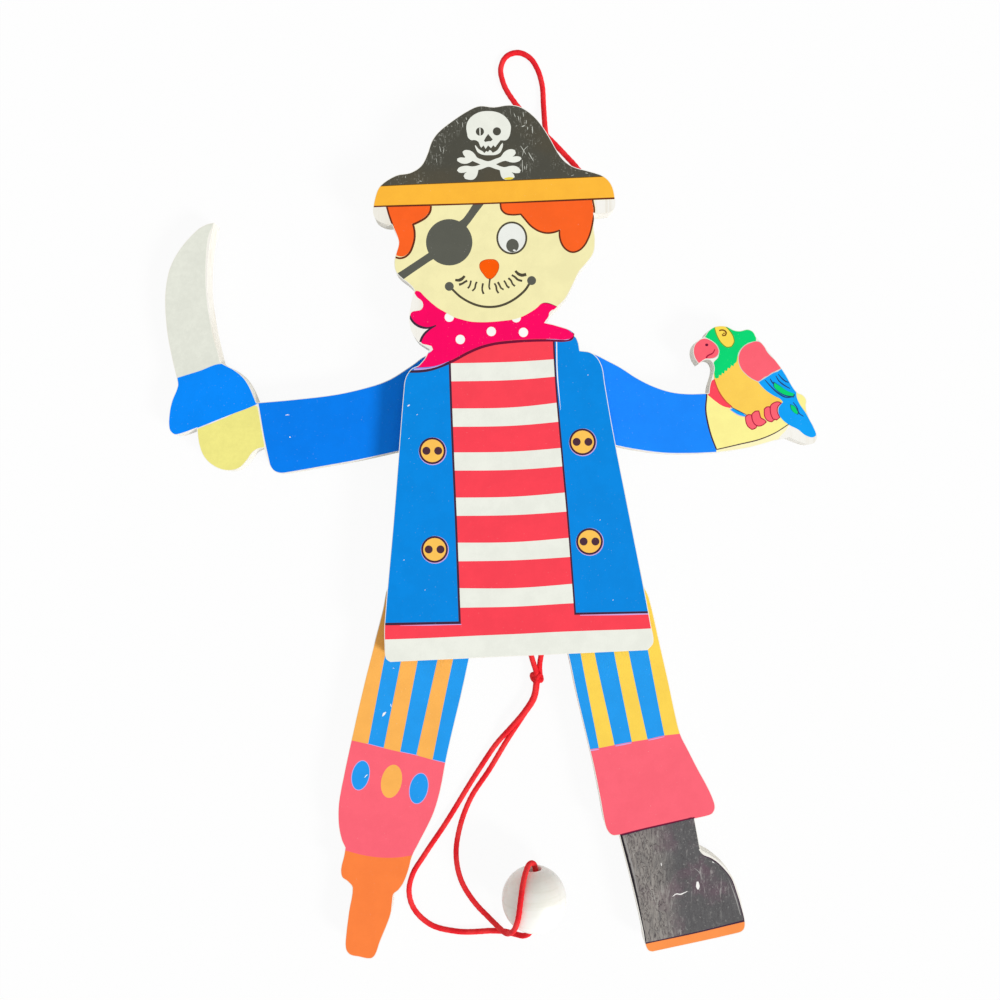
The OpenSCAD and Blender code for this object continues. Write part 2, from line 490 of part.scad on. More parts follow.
// The knot that stops both strands below the staple
loop_knot_l = 0.8 * loop_knot_d;
loop_knot_z = body_z - 2 * side_play - loop_knot_d / 2;
module loop_knot() {
    centred() translate([staple_xy.x, staple_xy.y - staple_wire_d - loop_knot_l, loop_knot_z])
        rotate([90, 0, 0]) knot(loop_knot_d, loop_knot_l);
}

body_board();
sabre_arm();
parrot_arm();
peg_leg();
boot_leg();
screw(left_shoulder);  // sabre_arm_screw
screw(right_shoulder);  // parrot_arm_screw
screw(left_hip);  // peg_leg_screw
screw(right_hip);  // boot_leg_screw
washer(left_shoulder);  // sabre_arm_washer
washer(right_shoulder);  // parrot_arm_washer
washer(left_hip);  // peg_leg_washer
washer(right_hip);  // boot_leg_washer
spacer(left_shoulder);  // sabre_arm_spacer
spacer(right_shoulder);  // parrot_arm_spacer
spacer(left_hip);  // peg_leg_spacer
spacer(right_hip);  // boot_leg_spacer
centred_cord(arm_cord_route);  // arm_cord
centred_cord(leg_cord_route);  // leg_cord
stop_knot(sabre_arm_hole);  // sabre_arm_stop_knot
stop_knot(parrot_arm_hole);  // parrot_arm_stop_knot
stop_knot(peg_leg_hole);  // peg_leg_stop_knot
stop_knot(boot_leg_hole);  // boot_leg_stop_knot
hitch(arm_hitch_xy);  // arm_hitch
hitch(leg_hitch_xy);  // leg_hitch
centred_cord(arm_tail_route);  // arm_tail
centred_cord(leg_tail_route);  // leg_tail
main_knot();
centred_cord(from(main_knot_xy, pull_loop_points));  // pull_loop
pull_ball();
loop_staple();
loop_knot();
centred_cord(from(staple_xy, hanging_loop_points));  // hanging_loop
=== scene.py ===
import math
import bpy
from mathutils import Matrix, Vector
from mathutils.geometry import delaunay_2d_cdt


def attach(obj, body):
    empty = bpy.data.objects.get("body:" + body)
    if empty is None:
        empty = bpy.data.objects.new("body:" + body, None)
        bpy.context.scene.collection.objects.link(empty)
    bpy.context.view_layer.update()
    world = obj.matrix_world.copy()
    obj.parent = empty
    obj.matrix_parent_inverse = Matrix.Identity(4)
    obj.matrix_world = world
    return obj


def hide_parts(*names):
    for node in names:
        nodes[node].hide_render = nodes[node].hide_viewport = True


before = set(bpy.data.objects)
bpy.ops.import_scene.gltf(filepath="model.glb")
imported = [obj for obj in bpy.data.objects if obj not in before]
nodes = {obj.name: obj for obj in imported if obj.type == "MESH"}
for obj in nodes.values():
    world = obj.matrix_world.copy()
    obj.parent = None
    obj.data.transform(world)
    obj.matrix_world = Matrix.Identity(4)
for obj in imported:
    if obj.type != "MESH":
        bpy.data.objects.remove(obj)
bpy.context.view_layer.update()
mm = 0.001

# Camera: straight above the toy and turned a little, as in the photograph
camera_place = Vector((1.42, 11.36, 319.3))
camera_turn = math.radians(2.2)
photo_middle = 500
focal_px = 1000
sensor_mm = 36
lens = bpy.data.cameras.new("camera")
lens.sensor_width = sensor_mm
lens.lens = sensor_mm * focal_px / (2 * photo_middle)
camera = bpy.data.objects.new("camera", lens)
camera.location = camera_place * mm
camera.rotation_euler = (0, 0, -camera_turn)
bpy.context.collection.objects.link(camera)
bpy.context.scene.camera = camera


def at(u, v, z):
    """The place in mm, on the plane at height z, that pixel u, v of the photograph shows."""
    step = (camera_place.z - z) / focal_px
    x, y = (u - photo_middle) * step, (photo_middle - v) * step
    c, s = math.cos(camera_turn), math.sin(camera_turn)
    return camera_place.x + x * c + y * s, camera_place.y - x * s + y * c


# Curves and meshes
stroke_step = 1.6


def hermite(a, b, ta, tb, t):
    """The point at t between a and b with these end tangents."""
    t2, t3 = t * t, t * t * t
    return (2 * t3 - 3 * t2 + 1) * a + (t3 - 2 * t2 + t) * ta + (3 * t2 - 2 * t3) * b + (t3 - t2) * tb


def curve(points, closed=False, step=2.0, corner=48):
    """A smooth line through the points, which keeps the corners that turn by more than corner degrees."""
    p = [Vector(q) for q in points]
    n = len(p)
    ends = n if closed else n - 1
    ins, outs = [], []
    for i in range(n):
        before = p[i] - p[i - 1] if closed or i > 0 else p[1] - p[0]
        after = p[(i + 1) % n] - p[i] if closed or i < n - 1 else p[i] - p[i - 1]
        if before.angle(after, 0) > math.radians(corner):
            ins.append(before.normalized())
            outs.append(after.normalized())
        else:
            way = (before.normalized() * after.length + after.normalized() * before.length).normalized()
            ins.append(way)
            outs.append(way)
    line = []
    for i in range(ends):
        a, b = p[i], p[(i + 1) % n]
        span = (b - a).length
        count = max(1, round(span / step))
        line += [hermite(a, b, outs[i] * span, ins[(i + 1) % n] * span, k / count) for k in range(count)]
    return line if closed else line + [p[-1]]


def area(loop):
    """Twice the signed area of a flat loop."""
    return sum(a[0] * b[1] - b[0] * a[1] for a, b in zip(loop, loop[1:] + loop[:1]))


def offset(loop, far):
    """A flat loop moved sideways by far: to the right of its way, with mitred corners."""
    moved = []
    for i, p in enumerate(loop):
        a = (p - loop[i - 1]).normalized()
        b = (loop[(i + 1) % len(loop)] - p).normalized()
        side = Vector((a.y + b.y, -a.x - b.x))
        moved.append(p + side * far / max(0.5, 1 + a.dot(b)))
    return moved


def stroke(points, widths):
    """The outline of a pen stroke along a line, with its width at start, middle and end."""
    line = curve(points, step=stroke_step)
    left, right = [], []
    a, b, c = widths
    for i, p in enumerate(line):
        way = (line[min(i + 1, len(line) - 1)] - line[max(i - 1, 0)]).normalized()
        t = i / (len(line) - 1)
        w = (a + (b - a) * 2 * t if t < 0.5 else b + (c - b) * (2 * t - 1)) / 2
        side = Vector((way.y, -way.x)) * w
        left.append(p + side)
        right.append(p - side)
    return left + right[::-1]


def ring(cx, cy, rx, ry=None, turn=0, count=28):
    """An ellipse."""
    ry = ry or rx
    c, s = math.cos(math.radians(turn)), math.sin(math.radians(turn))
    steps = [k * math.tau / count for k in range(count)]
    spots = [(rx * math.cos(t), ry * math.sin(t)) for t in steps]
    return [Vector((cx + x * c - y * s, cy + x * s + y * c)) for x, y in spots]


def mesh_object(name, verts, faces, smooth=True):
    """A mesh object from points in mm."""
    mesh = bpy.data.meshes.new(name)
    mesh.from_pydata([Vector(v) * mm for v in verts], [], faces)
    mesh.validate()
    mesh.update()
    mesh.polygons.foreach_set("use_smooth", [smooth] * len(mesh.polygons))
    obj = bpy.data.objects.new(name, mesh)
    bpy.context.collection.objects.link(obj)
    return obj


def finish_piece(obj, body, material, replaced=()):
    """Gives a piece its material and body, and hides the nodes that it stands for."""
    obj.data.materials.append(material)
    if replaced:
        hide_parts(*replaced)
    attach(obj, body)
    return obj


# Materials
class Paint:
    """A new material and its nodes. A node's inputs are given by name or by number."""

    def __init__(self, name):
        self.material = bpy.data.materials.new(name)
        self.material.use_nodes = True
        self.tree = self.material.node_tree
        self.base = self.tree.nodes["Principled BSDF"]
        self.place = self.add("ShaderNodeTexCoord", out=3)

    def add(self, kind, inputs=(), out=0, **settings):
        """Adds a node, sets or links its inputs, and gives one of its outputs."""
        node = self.tree.nodes.new(kind)
        for key, value in settings.items():
            setattr(node, key, value)
        for key, value in dict(inputs).items():
            if isinstance(value, bpy.types.NodeSocket):
                self.tree.links.new(value, node.inputs[key])
            else:
                node.inputs[key].default_value = value
        return node.outputs[out]

    def maths(self, operation, *values):
        """A sum of one, two or three values."""
        return self.add("ShaderNodeMath", dict(enumerate(values)), operation=operation)

    def noise(self, scale=1, detail=2, rough=0.5, warp=0, stretch=None, turn=0):
        """A noise over the piece's own place, or over that place stretched and turned about z."""
        place = self.place
        if stretch:
            place = self.add("ShaderNodeMapping", {0: place, 2: (0, 0, math.radians(turn)), 3: stretch})
        return self.add("ShaderNodeTexNoise", {"Vector": place, "Scale": scale, "Detail": detail,
            "Roughness": rough, "Distortion": warp})

    def ramp(self, source, span, values):
        """Maps a span of a value smoothly to two other values."""
        return self.add("ShaderNodeMapRange", {0: source, 1: span[0], 2: span[1], 3: values[0], 4: values[1]},
            interpolation_type="SMOOTHSTEP")

    def mix(self, factor, a, b):
        """A mix of two colours."""
        return self.add("ShaderNodeMix", {0: factor, 6: a, 7: b}, out=2, data_type="RGBA")

    def zone(self, spots, core=0.3):
        """1 near the given places and 0 beyond, with soft edges. Each place is (x, y, z, reach) in mm."""
        near = None
        for x, y, z, reach in spots:
            far = self.add("ShaderNodeVectorMath", {0: self.place, 1: (x * mm, y * mm, z * mm)}, out=1,
                operation="DISTANCE")
            here = self.ramp(far, (core * reach * mm, reach * mm), (1, 0))
            near = self.maths("MAXIMUM", near, here) if near else here
        return near

    def dress(self, colour, rough, height, strength, deep):
        """Links the colour, the roughness and a bump of this strength and depth, and gives the material."""
        normal = self.add("ShaderNodeBump", {"Strength": strength, "Distance": deep * mm, "Height": height})
        for key, value in (("Base Color", colour), ("Roughness", rough), ("Normal", normal)):
            self.tree.links.new(value, self.base.inputs[key])
        return self.material


def linear(rgb):
    """A colour of 0 to 255 levels as Blender's linear one."""
    levels = [c / 255 for c in rgb]
    return tuple(c / 12.92 if c <= 0.04045 else ((c + 0.055) / 1.055) ** 2.4 for c in levels) + (1,)


ink_shade = 0.965
ink_light = 1.02
grain_fade = 0.2
# How much darker the dents' hollows are painted: painted shade
painted_dent_shade = 0.95
ink_shine = 0.08


def print_paint(name, rgb, dents=0.0, wear=None):
    """Printed ink over white primer on wood: faint grain, a few fine pits and slightly uneven ink.

    Dents adds a hammered surface whose hollows are painted darker as painted shade, and wear, if given, is a
    function that adds the marks of use."""
    paint = Paint(name)
    cloud = paint.noise(scale=150, detail=5, rough=0.7)
    grain = paint.noise(detail=4, rough=0.65, stretch=(900, 70, 900))
    pits = paint.noise(scale=2600)
    ink = linear(rgb)
    deep = tuple(c * ink_shade for c in ink[:3]) + (1,)
    pale = tuple(min(1, c * ink_light) for c in ink[:3]) + (1,)
    faded = linear([c + (255 - c) * grain_fade for c in rgb])
    primer = linear((250, 248, 240))
    colour = paint.mix(paint.ramp(cloud, (0.35, 0.65), (0, 1)), deep, pale)
    colour = paint.mix(paint.ramp(grain, (0.6, 0.8), (0, 0.05)), colour, faded)
    colour = paint.mix(paint.ramp(pits, (0.72, 0.76), (0, 0.25)), colour, primer)
    height = paint.maths("MULTIPLY_ADD", grain, 0.6, pits)
    if wear:
        colour, worn = wear(paint, colour)
        height = paint.maths("SUBTRACT", height, worn)
    if dents:
        hollows = paint.noise(scale=650, detail=3, rough=0.55)
        height = paint.maths("MULTIPLY_ADD", hollows, dents, height)
        # The dents' hollows are painted darker: painted shade
        painted_dent_shade_colour = linear([c * painted_dent_shade for c in rgb])
        colour = paint.mix(paint.ramp(hollows, (0.35, 0.65), (0.3, 0)), colour, painted_dent_shade_colour)
    paint.base.inputs["Specular IOR Level"].default_value = ink_shine
    return paint.dress(colour, paint.ramp(pits, (0.3, 0.7), (0.48, 0.62)), height, strength=0.3, deep=0.08)


hat_rubs = [(398, 180, 4), (420, 181, 4), (434, 160, 4), (437, 148, 5), (442, 138, 5), (448, 130, 5),
    (456, 122, 5), (464, 116, 4.5), (472, 110, 4), (482, 108, 4), (512, 113, 4.5), (520, 118, 5),
    (528, 128, 5), (536, 140, 3), (524, 150, 4), (530, 160, 4), (523, 170, 4), (560, 162, 4), (571, 168, 4),
    (590, 174, 3)]


def hat_wear(paint, colour):
    """Chips and short upright rubs on the hat's left slope and on its upper right."""
    z = front_z["body_board"]
    worn = paint.zone([(*at(u, v, z), z, reach) for u, v, reach in hat_rubs])
    chips = paint.noise(scale=1150, detail=6, rough=0.75)
    rubs = paint.noise(detail=6, rough=0.7, stretch=(1900, 380, 900), turn=6)
    marks = paint.maths("MAXIMUM", paint.ramp(chips, (0.56, 0.7), (0, 0.8)),
        paint.ramp(rubs, (0.56, 0.72), (0, 0.6)))
    rubbed = paint.maths("MULTIPLY", marks, paint.ramp(worn, (0, 1), (0.06, 1)))
    cloud = paint.noise(scale=60, detail=3)
    faded, bare = linear((88, 80, 62)), linear((190, 190, 180))
    colour = paint.mix(paint.ramp(cloud, (0.4, 0.7), (0, 0.5)), colour, faded)
    return paint.mix(rubbed, colour, bare), rubbed


boot_back = (650, 880)
boot_middle = (682, 875)
crack_wide = 0.03
boot_mark_share = 0.62


def boot_wear(paint, colour):
    """Rubbed pale along the boot's back half, with cracks, and with scratches and specks all over."""
    near, far = [Vector(at(u, v, front_z["boot_leg"])) for u, v in (boot_back, boot_middle)]
    way = (far - near).normalized()
    across = paint.add("ShaderNodeVectorMath", {0: paint.place, 1: (way.x, way.y, 0)}, out=1,
        operation="DOT_PRODUCT")
    back = paint.ramp(across, (near.dot(way) * mm, far.dot(way) * mm), (1, 0))
    streaks = paint.noise(detail=7, rough=0.72, warp=0.6, stretch=(1100, 260, 700), turn=-13)
    waves = paint.noise(detail=5, rough=0.6, warp=1.2, stretch=(520, 170, 500), turn=-9)
    cracks = paint.ramp(paint.maths("ABSOLUTE", paint.maths("SUBTRACT", waves, 0.5)), (0, crack_wide), (1, 0))
    chips = paint.noise(scale=1500, detail=5, rough=0.75)
    patches = paint.noise(scale=95, detail=4, rough=0.6)
    violet, grey, dark, light = [linear(c) for c in ((108, 88, 98), (152, 146, 140), (58, 50, 54),
        (186, 184, 180))]
    colour = paint.mix(paint.ramp(patches, (0.45, 0.65), (0, 0.7)), colour, violet)
    pale = paint.maths("MULTIPLY", back, paint.ramp(streaks, (0.34, 0.6), (0.3, 0.95)))
    colour = paint.mix(pale, colour, grey)
    colour = paint.mix(paint.maths("MULTIPLY", cracks, paint.ramp(back, (0, 1), (0.3, 0.85))), colour, dark)
    scratches = paint.maths("MULTIPLY", paint.ramp(streaks, (0.53, 0.68), (0, 1)),
        paint.ramp(patches, (0.42, 0.6), (0.3, 1)))
    marks = paint.maths("MAXIMUM", scratches, paint.ramp(chips, (0.57, 0.68), (0, 0.75)))
    colour = paint.mix(paint.maths("MULTIPLY", marks, boot_mark_share), colour, light)
    return colour, paint.maths("MULTIPLY_ADD", cracks, 0.8, marks)


ply_pitch = 1.5


def primed_wood():
    """White primer over plywood: grain on the faces, and thin veneer lines round the sides."""
    paint = Paint("primed_wood")
    grain = paint.noise(detail=5, rough=0.6, stretch=(700, 45, 700))
    cloud = paint.noise(scale=55, detail=3)
    fine = paint.noise(scale=2200, detail=3)
    z = paint.add("ShaderNodeSeparateXYZ", {0: paint.place}, out=2)
    plies = paint.maths("SINE", paint.maths("MULTIPLY", z, math.tau / (ply_pitch * mm)))
    normal = paint.add("ShaderNodeTexCoord", out=1)
    flat = paint.maths("ABSOLUTE", paint.add("ShaderNodeSeparateXYZ", {0: normal}, out=2))
    white, cream, tan, veneer = [linear(c) for c in ((247, 245, 238), (233, 228, 214), (222, 212, 190),
        (214, 200, 172))]
    colour = paint.mix(paint.ramp(cloud, (0.35, 0.7), (0, 0.55)), white, cream)
    colour = paint.mix(paint.ramp(grain, (0.5, 0.75), (0, 0.5)), colour, tan)
    side_lines = paint.maths("MULTIPLY", paint.ramp(plies, (0.7, 1), (0, 0.35)),
        paint.ramp(flat, (0.2, 0.6), (1, 0)))
    colour = paint.mix(side_lines, colour, veneer)
    height = paint.maths("MULTIPLY_ADD", grain, 1.2, fine)
    return paint.dress(colour, paint.ramp(fine, (0.3, 0.7), (0.48, 0.66)), height, strength=0.35, deep=0.1)


def bare_wood():
    """Bare turned beech."""
    paint = Paint("bare_wood")
    grain = paint.noise(detail=6, rough=0.7, stretch=(2600, 300, 2600))
    colour = paint.mix(paint.ramp(grain, (0.35, 0.7), (0, 1)), linear((222, 186, 138)),
        linear((188, 146, 96)))
    return paint.dress(colour, paint.ramp(grain, (0.3, 0.7), (0.55, 0.72)), grain, strength=0.4, deep=0.1)


def steel():
    """Bright zinc-plated steel with fine rub marks."""
    paint = Paint("steel")
    rubs = paint.noise(detail=5, stretch=(5200, 700, 2600))
    cloud = paint.noise(scale=420, detail=3)
    colour = paint.mix(paint.ramp(cloud, (0.35, 0.65), (0, 1)), linear((196, 198, 202)),
        linear((168, 168, 170)))
    paint.base.inputs["Metallic"].default_value = 1
    return paint.dress(colour, paint.ramp(rubs, (0.3, 0.7), (0.22, 0.42)), rubs, strength=0.2, deep=0.04)


def cord_fibre():
    """Red braided cotton cord: lighter raised fibres, partly stray fuzz and partly painted highlight, and
    hollows painted darker as painted shade.
    """
    paint = Paint("red_cord")
    fibres = paint.noise(scale=3200, detail=4, rough=0.7)
    cloud = paint.noise(scale=160)
    red, bright, stray_fibre_highlight, painted_hollow_shade = [linear(c) for c in ((235, 33, 44), (245, 58, 61), (255, 106, 100),
        (184, 0, 22))]
    colour = paint.mix(paint.ramp(cloud, (0.35, 0.65), (0, 1)), red, bright)
    # Raised fibres are painted lighter, partly stray fuzz and partly painted highlight; low fibres are
    # painted darker as painted shade in the braid's hollows
    colour = paint.mix(paint.ramp(fibres, (0.52, 0.75), (0, 0.3)), colour, stray_fibre_highlight)
    colour = paint.mix(paint.ramp(fibres, (0.48, 0.32), (0, 0.6)), colour, painted_hollow_shade)
    paint.base.inputs["Specular IOR Level"].default_value = 0.1
    return paint.dress(colour, paint.ramp(fibres, (0.3, 0.7), (0.62, 0.85)), fibres, strength=0.5, deep=0.12)


def ball_lacquer():
    """Off-white lacquer over a turned wooden ball: soft turning rings and a few specks."""
    paint = Paint("ball_lacquer")
    cloud = paint.noise(scale=90, detail=3)
    specks = paint.noise(scale=1500)
    rings = paint.noise(detail=3, stretch=(60, 800, 60))
    white, ivory, straw, brown = [linear(c) for c in ((250, 250, 244), (240, 238, 228), (224, 222, 204),
        (196, 184, 158))]
    colour = paint.mix(paint.ramp(cloud, (0.35, 0.68), (0, 1)), white, ivory)
    colour = paint.mix(paint.ramp(rings, (0.5, 0.7), (0, 0.3)), colour, straw)
    colour = paint.mix(paint.ramp(specks, (0.72, 0.76), (0, 0.3)), colour, brown)
    paint.base.inputs["Coat Weight"].default_value = 0.15
    return paint.dress(colour, paint.ramp(rings, (0.3, 0.7), (0.3, 0.42)), rings, strength=0.1, deep=0.05)


wood_finish = primed_wood()
spacer_finish = bare_wood()
steel_finish = steel()
cord_finish = cord_fibre()
ball_finish = ball_lacquer()

# Cords: the routes of the CAD solids, x and y from an anchor and z from the table
cord_d = 1.7
cord_lift = 0.05
cord_sides = 18
braid_h = 0.05
main_knot = Vector((10.92, -45.34, 1.92))
staple = Vector((22.572, 104.464, 0))
loop_knot = Vector((22.572, 99.46, 8.5))
hitch_d = 3.2
tail_back = 0.4
tail_drop = 0.15
arm_hitch = Vector((5.52, 44.92, 9.55))
leg_hitch = Vector((5.52, -15.58, 9.55))
pull_loop_points = [(-0.2, -0.4, 2.9), (-1.2, -5.6, 2.8), (-4.6, -10.8, 2.8), (-8.7, -15.3, 2.6),
    (-13.5, -20.6, 1.1), (-19.4, -28.6, 0.9), (-31.4, -46.4, 0.9), (-37.9, -55.3, 0.9), (-42, -61.6, 0.9),
    (-43.2, -66, 0.9), (-42.6, -70.6, 0.9), (-37.2, -77.2, 0.9), (-29, -79.9, 0.9), (-18, -80.2, 0.9),
    (-13.5, -80, 2.2), (-9.8, -79.6, 5.6), (-7, -78.8, 8.6), (-5.2, -76.9, 10.3), (-4.6, -73.6, 10.4),
    (-2.9, -61, 9), (-2.9, -58.2, 8.8), (-3.4, -56.2, 9.9), (-4.7, -55.4, 12), (-5.9, -56.6, 14.6),
    (-7.1, -59.7, 17.7), (-8, -63.8, 20), (-8.8, -68.4, 20), (-10, -72.9, 17.3), (-11.7, -76.4, 12.1),
    (-13.3, -78.3, 6.9), (-15.5, -77.9, 3), (-18.6, -75.4, 1.1), (-23, -70.3, 0.9), (-26.5, -63.8, 0.9),
    (-27.8, -55.6, 0.9), (-26.3, -47, 0.9), (-22.6, -38, 0.9), (-16.1, -28.8, 0.9), (-9.8, -19.2, 0.9),
    (-4.5, -11.8, 0.9), (-1, -6.8, 0.9), (0.3, -1, 1)]
hanging_loop_points = [(-0.9, -4.1, 9.6), (-0.9, 0, 10.3), (-1.1, 4.5, 9.5), (-1.5, 11, 6.4), (-2, 18, 3.8),
    (-2.4, 24.7, 2.8), (-2.5, 31.5, 1.1), (-2.8, 39.1, 0.9), (-4, 43.5, 0.9), (-6.4, 47.3, 0.9),
    (-10, 49, 0.9), (-13.7, 47.9, 0.9), (-15.6, 44.4, 0.9), (-15.1, 39.8, 0.9), (-11.8, 33.4, 0.9),
    (-6.8, 27.3, 0.9), (-3.2, 23.5, 0.9), (0.4, 19.7, 0.9), (4, 15.6, 0.9), (6.9, 12, 1.4), (8.5, 8.9, 2.8),
    (8.3, 6.4, 4.8), (6.3, 5.2, 7), (3.9, 4.2, 8.9), (1.8, 2.5, 10), (0.9, -0.2, 10.3), (0.9, -4.1, 9.6)]
arm_tail_points = [(1.6, 30, 7), (2.1, 22, 6.6), (2.2, 13, 5.6), (1.6, 7.5, 4), (1.1, 4.4, 2.6),
    (1, 2.6, 1.8), (1.1, 0.8, 1.3)]
leg_tail_points = [(-4.6, 25.4, 8.6), (-3.4, 18.4, 7.2), (-2.3, 12.4, 5.7), (-1.5, 7.2, 4.3),
    (-0.8, 4.4, 3.6), (-0.3, 2.6, 3.1), (-0.1, 0.8, 2.6)]


def route(anchor, points):
    """The points of a cord's route in the frame, in mm."""
    return [Vector((anchor.x + x, anchor.y + y, z)) for x, y, z in points]


def tail_route(hitch, points):
    """A tail's route from its hitch to the main knot."""
    start = Vector((hitch.x, hitch.y - tail_back * hitch_d, hitch.z - tail_drop * hitch_d))
    return [start] + route(main_knot, points)


def cord_line(points, step=0.45, fine_step=0.2, corner=80):
    """A cord's centre line as evenly spaced points."""
    fine = curve(points, step=fine_step, corner=corner)
    line, far = [fine[0]], 0
    for a, b in zip(fine, fine[1:]):
        far += (b - a).length
        if far >= step:
            line.append(b)
            far = 0
    if (line[-1] - fine[-1]).length > 0.3 * step:
        line.append(fine[-1])
    else:
        line[-1] = fine[-1]
    return [Vector((p.x, p.y, max(p.z, cord_d / 2 + cord_lift))) for p in line]


def tube(line, d, sides, closed=False, braid=0.0, pitch=1.9, ends=True):
    """Points and faces of a round tube along a line. A braid raises diamond bumps, sides / 3 round it."""
    verts, faces = [], []
    n = len(line)
    side, far = None, 0
    for i, p in enumerate(line):
        if closed:
            way = (line[(i + 1) % n] - line[i - 1]).normalized()
        else:
            way = (line[min(i + 1, n - 1)] - line[max(i - 1, 0)]).normalized()
        if side is None:
            side = way.orthogonal().normalized()
        side = (side - way * side.dot(way)).normalized()
        up = way.cross(side)
        far += (p - line[i - 1]).length if i else 0
        for k in range(sides):
            t = k * math.tau / sides
            bump = math.cos(sides / 3 * t) * math.cos(math.tau * far / pitch) if braid else 0
            verts.append(p + (side * math.cos(t) + up * math.sin(t)) * (d / 2 + braid * bump))
    for i in range(n if closed else n - 1):
        a, b = i * sides, (i + 1) % n * sides
        faces += [(a + k, a + (k + 1) % sides, b + (k + 1) % sides, b + k) for k in range(sides)]
    if not closed and ends:
        faces += [tuple(range(sides))[::-1], tuple(range((n - 1) * sides, n * sides))]
    return verts, faces


def cord_piece(name, points, body, replaced, **facts):
    """A braided cord along its route."""
    line = cord_line(points)
    verts, faces = tube(line, cord_d, cord_sides, braid=braid_h)
    obj = finish_piece(mesh_object(name, verts, faces), body, cord_finish, replaced)


def joined(*parts):
    """Several lists of points and faces as one."""
    verts, faces = [], []
    for part_verts, part_faces in parts:
        faces += [tuple(i + len(verts) for i in face) for face in part_faces]
        verts += part_verts
    return verts, faces


# A knot is a closed line in three lobes, which reaches 2.76 times across and 3 times up
knot_points = 120
knot_reach = 2.76
knot_rise = 3
knot_look = {"sides": 15, "braid": 0.04, "pitch": 0.9}
stub_steps = 8


def knot_piece(name, centre, axis, d, l, cord, body, replaced, wide=None, stub=None):
    """A tight overhand knot: a cord wound in three lobes about the axis, and a cut end, if any, at stub."""
    r = cord / 2
    across = ((wide or d) / 2 - r) / knot_reach
    up, deep = (d / 2 - r) / knot_rise, l / 2 - r
    turn = Vector((0, 0, 1)).rotation_difference(Vector(axis)).to_matrix()
    line = []
    for k in range(knot_points):
        t = k * math.tau / knot_points
        spot = Vector(((math.sin(t) + 2 * math.sin(2 * t)) * across, (math.cos(t) - 2 * math.cos(2 * t)) * up,
            -math.sin(3 * t) * deep))
        line.append(centre + turn @ spot)
    parts = [tube(line, cord, closed=True, **knot_look)]
    if stub:
        end = centre + Vector(stub)
        parts.append(tube([centre.lerp(end, k / stub_steps) for k in range(stub_steps + 1)], cord,
            **knot_look))
    return finish_piece(mesh_object(name, *joined(*parts)), body, cord_finish, replaced)


main_knot_piece = knot_piece("main_knot_tied", main_knot, (0, 1, 0), d=3.7, l=3.6, cord=1.5, body="pull_cord",
    replaced=("main_knot",), wide=4.5)
loop_knot_piece = knot_piece("loop_knot_tied", loop_knot, (0, 1, 0), d=5, l=4, cord=1.6, body="root",
    replaced=("loop_knot",), stub=(-0.9, -4.6, 0.4))
cord_piece("pull_loop_braid", route(main_knot, pull_loop_points), "pull_cord", ("pull_loop",), far_end="knot",
    stiffness="limp", lay="loose", with_pieces=[main_knot_piece])
cord_piece("hanging_loop_braid", route(staple, hanging_loop_points), "root", ("hanging_loop",),
    far_end="knot", stiffness="limp", lay="loose", with_pieces=[loop_knot_piece])
cord_piece("arm_tail_braid", tail_route(arm_hitch, arm_tail_points), "pull_cord", ("arm_tail",),
    far_end="knot", stiffness="limp", lay="taut")
cord_piece("leg_tail_braid", tail_route(leg_hitch, leg_tail_points), "pull_cord", ("leg_tail",))

# Cross cords: from hitch to limb above the boards, and down through each limb's hole to its stop knot
gap_z = 10.225
stop_knot_z = 1.6
cord_holes = {"sabre_arm": Vector((-8.757, 47.221)), "parrot_arm": Vector((19.798, 47.221)),
    "peg_leg": Vector((-10.443, -13.28)), "boot_leg": Vector((21.484, -13.28))}
crossings = (("arm", "sabre_arm", "parrot_arm", arm_hitch), ("leg", "peg_leg", "boot_leg", leg_hitch))
hitch_stub = (1.4, 2.6, -0.5)
left_stub = (-2.4, 1.6, -0.5)
right_stub = (2.4, -1.6, -0.5)
end_points = 20
dome_angles = (math.radians(30), math.radians(60))
end_step = 0.45


def domed(line):
    """A cord with rounded ends."""
    verts, faces = tube(line, cord_d, cord_sides, braid=braid_h, ends=False)
    r = cord_d / 2
    neighbours = [(j, (j + 1) % cord_sides) for j in range(cord_sides)]
    for first, tip, way, turned in ((0, line[0], (line[0] - line[1]).normalized(), True),
            (len(verts) - cord_sides, line[-1], (line[-1] - line[-2]).normalized(), False)):
        last = range(first, first + cord_sides)
        cap = []
        for a in dome_angles:
            now = range(len(verts), len(verts) + cord_sides)
            share, rise = math.cos(a), way * r * math.sin(a)
            verts += [tip + (verts[first + j] - tip) * share + rise for j in range(cord_sides)]
            cap += [(last[j], last[k], now[k], now[j]) for j, k in neighbours]
            last = now
        verts.append(tip + way * r)
        cap += [(last[j], last[k], len(verts) - 1) for j, k in neighbours]
        faces += [face[::-1] for face in cap] if turned else cap
    return verts, faces


for name, left, right, hitch in crossings:
    ends = [Vector((cord_holes[limb].x, cord_holes[limb].y, gap_z)) for limb in (left, right)]
    line = cord_line([ends[0], Vector((hitch.x, hitch.y, gap_z)), ends[1]])
    finish_piece(mesh_object(name + "_cord_braid", *domed(line)), "pull_cord", cord_finish,
        (name + "_cord",))
    knot_piece(name + "_hitch_tied", hitch, (1, 0, 0), d=hitch_d, l=3.4, cord=1.1, body="pull_cord",
        replaced=(name + "_hitch",), stub=hitch_stub)
    for limb, stub in ((left, left_stub), (right, right_stub)):
        hole = cord_holes[limb]
        line = [Vector((hole.x, hole.y, stop_knot_z + k * end_step)) for k in range(end_points)]
        finish_piece(mesh_object(limb + "_cord_end", *domed(line)), limb, cord_finish)
        knot_piece(limb + "_stop_knot_tied", Vector((hole.x, hole.y, stop_knot_z)), (0, 0, 1), d=3.8, l=2.8,
            cord=1.3, body=limb, replaced=(limb + "_stop_knot",), stub=stub)

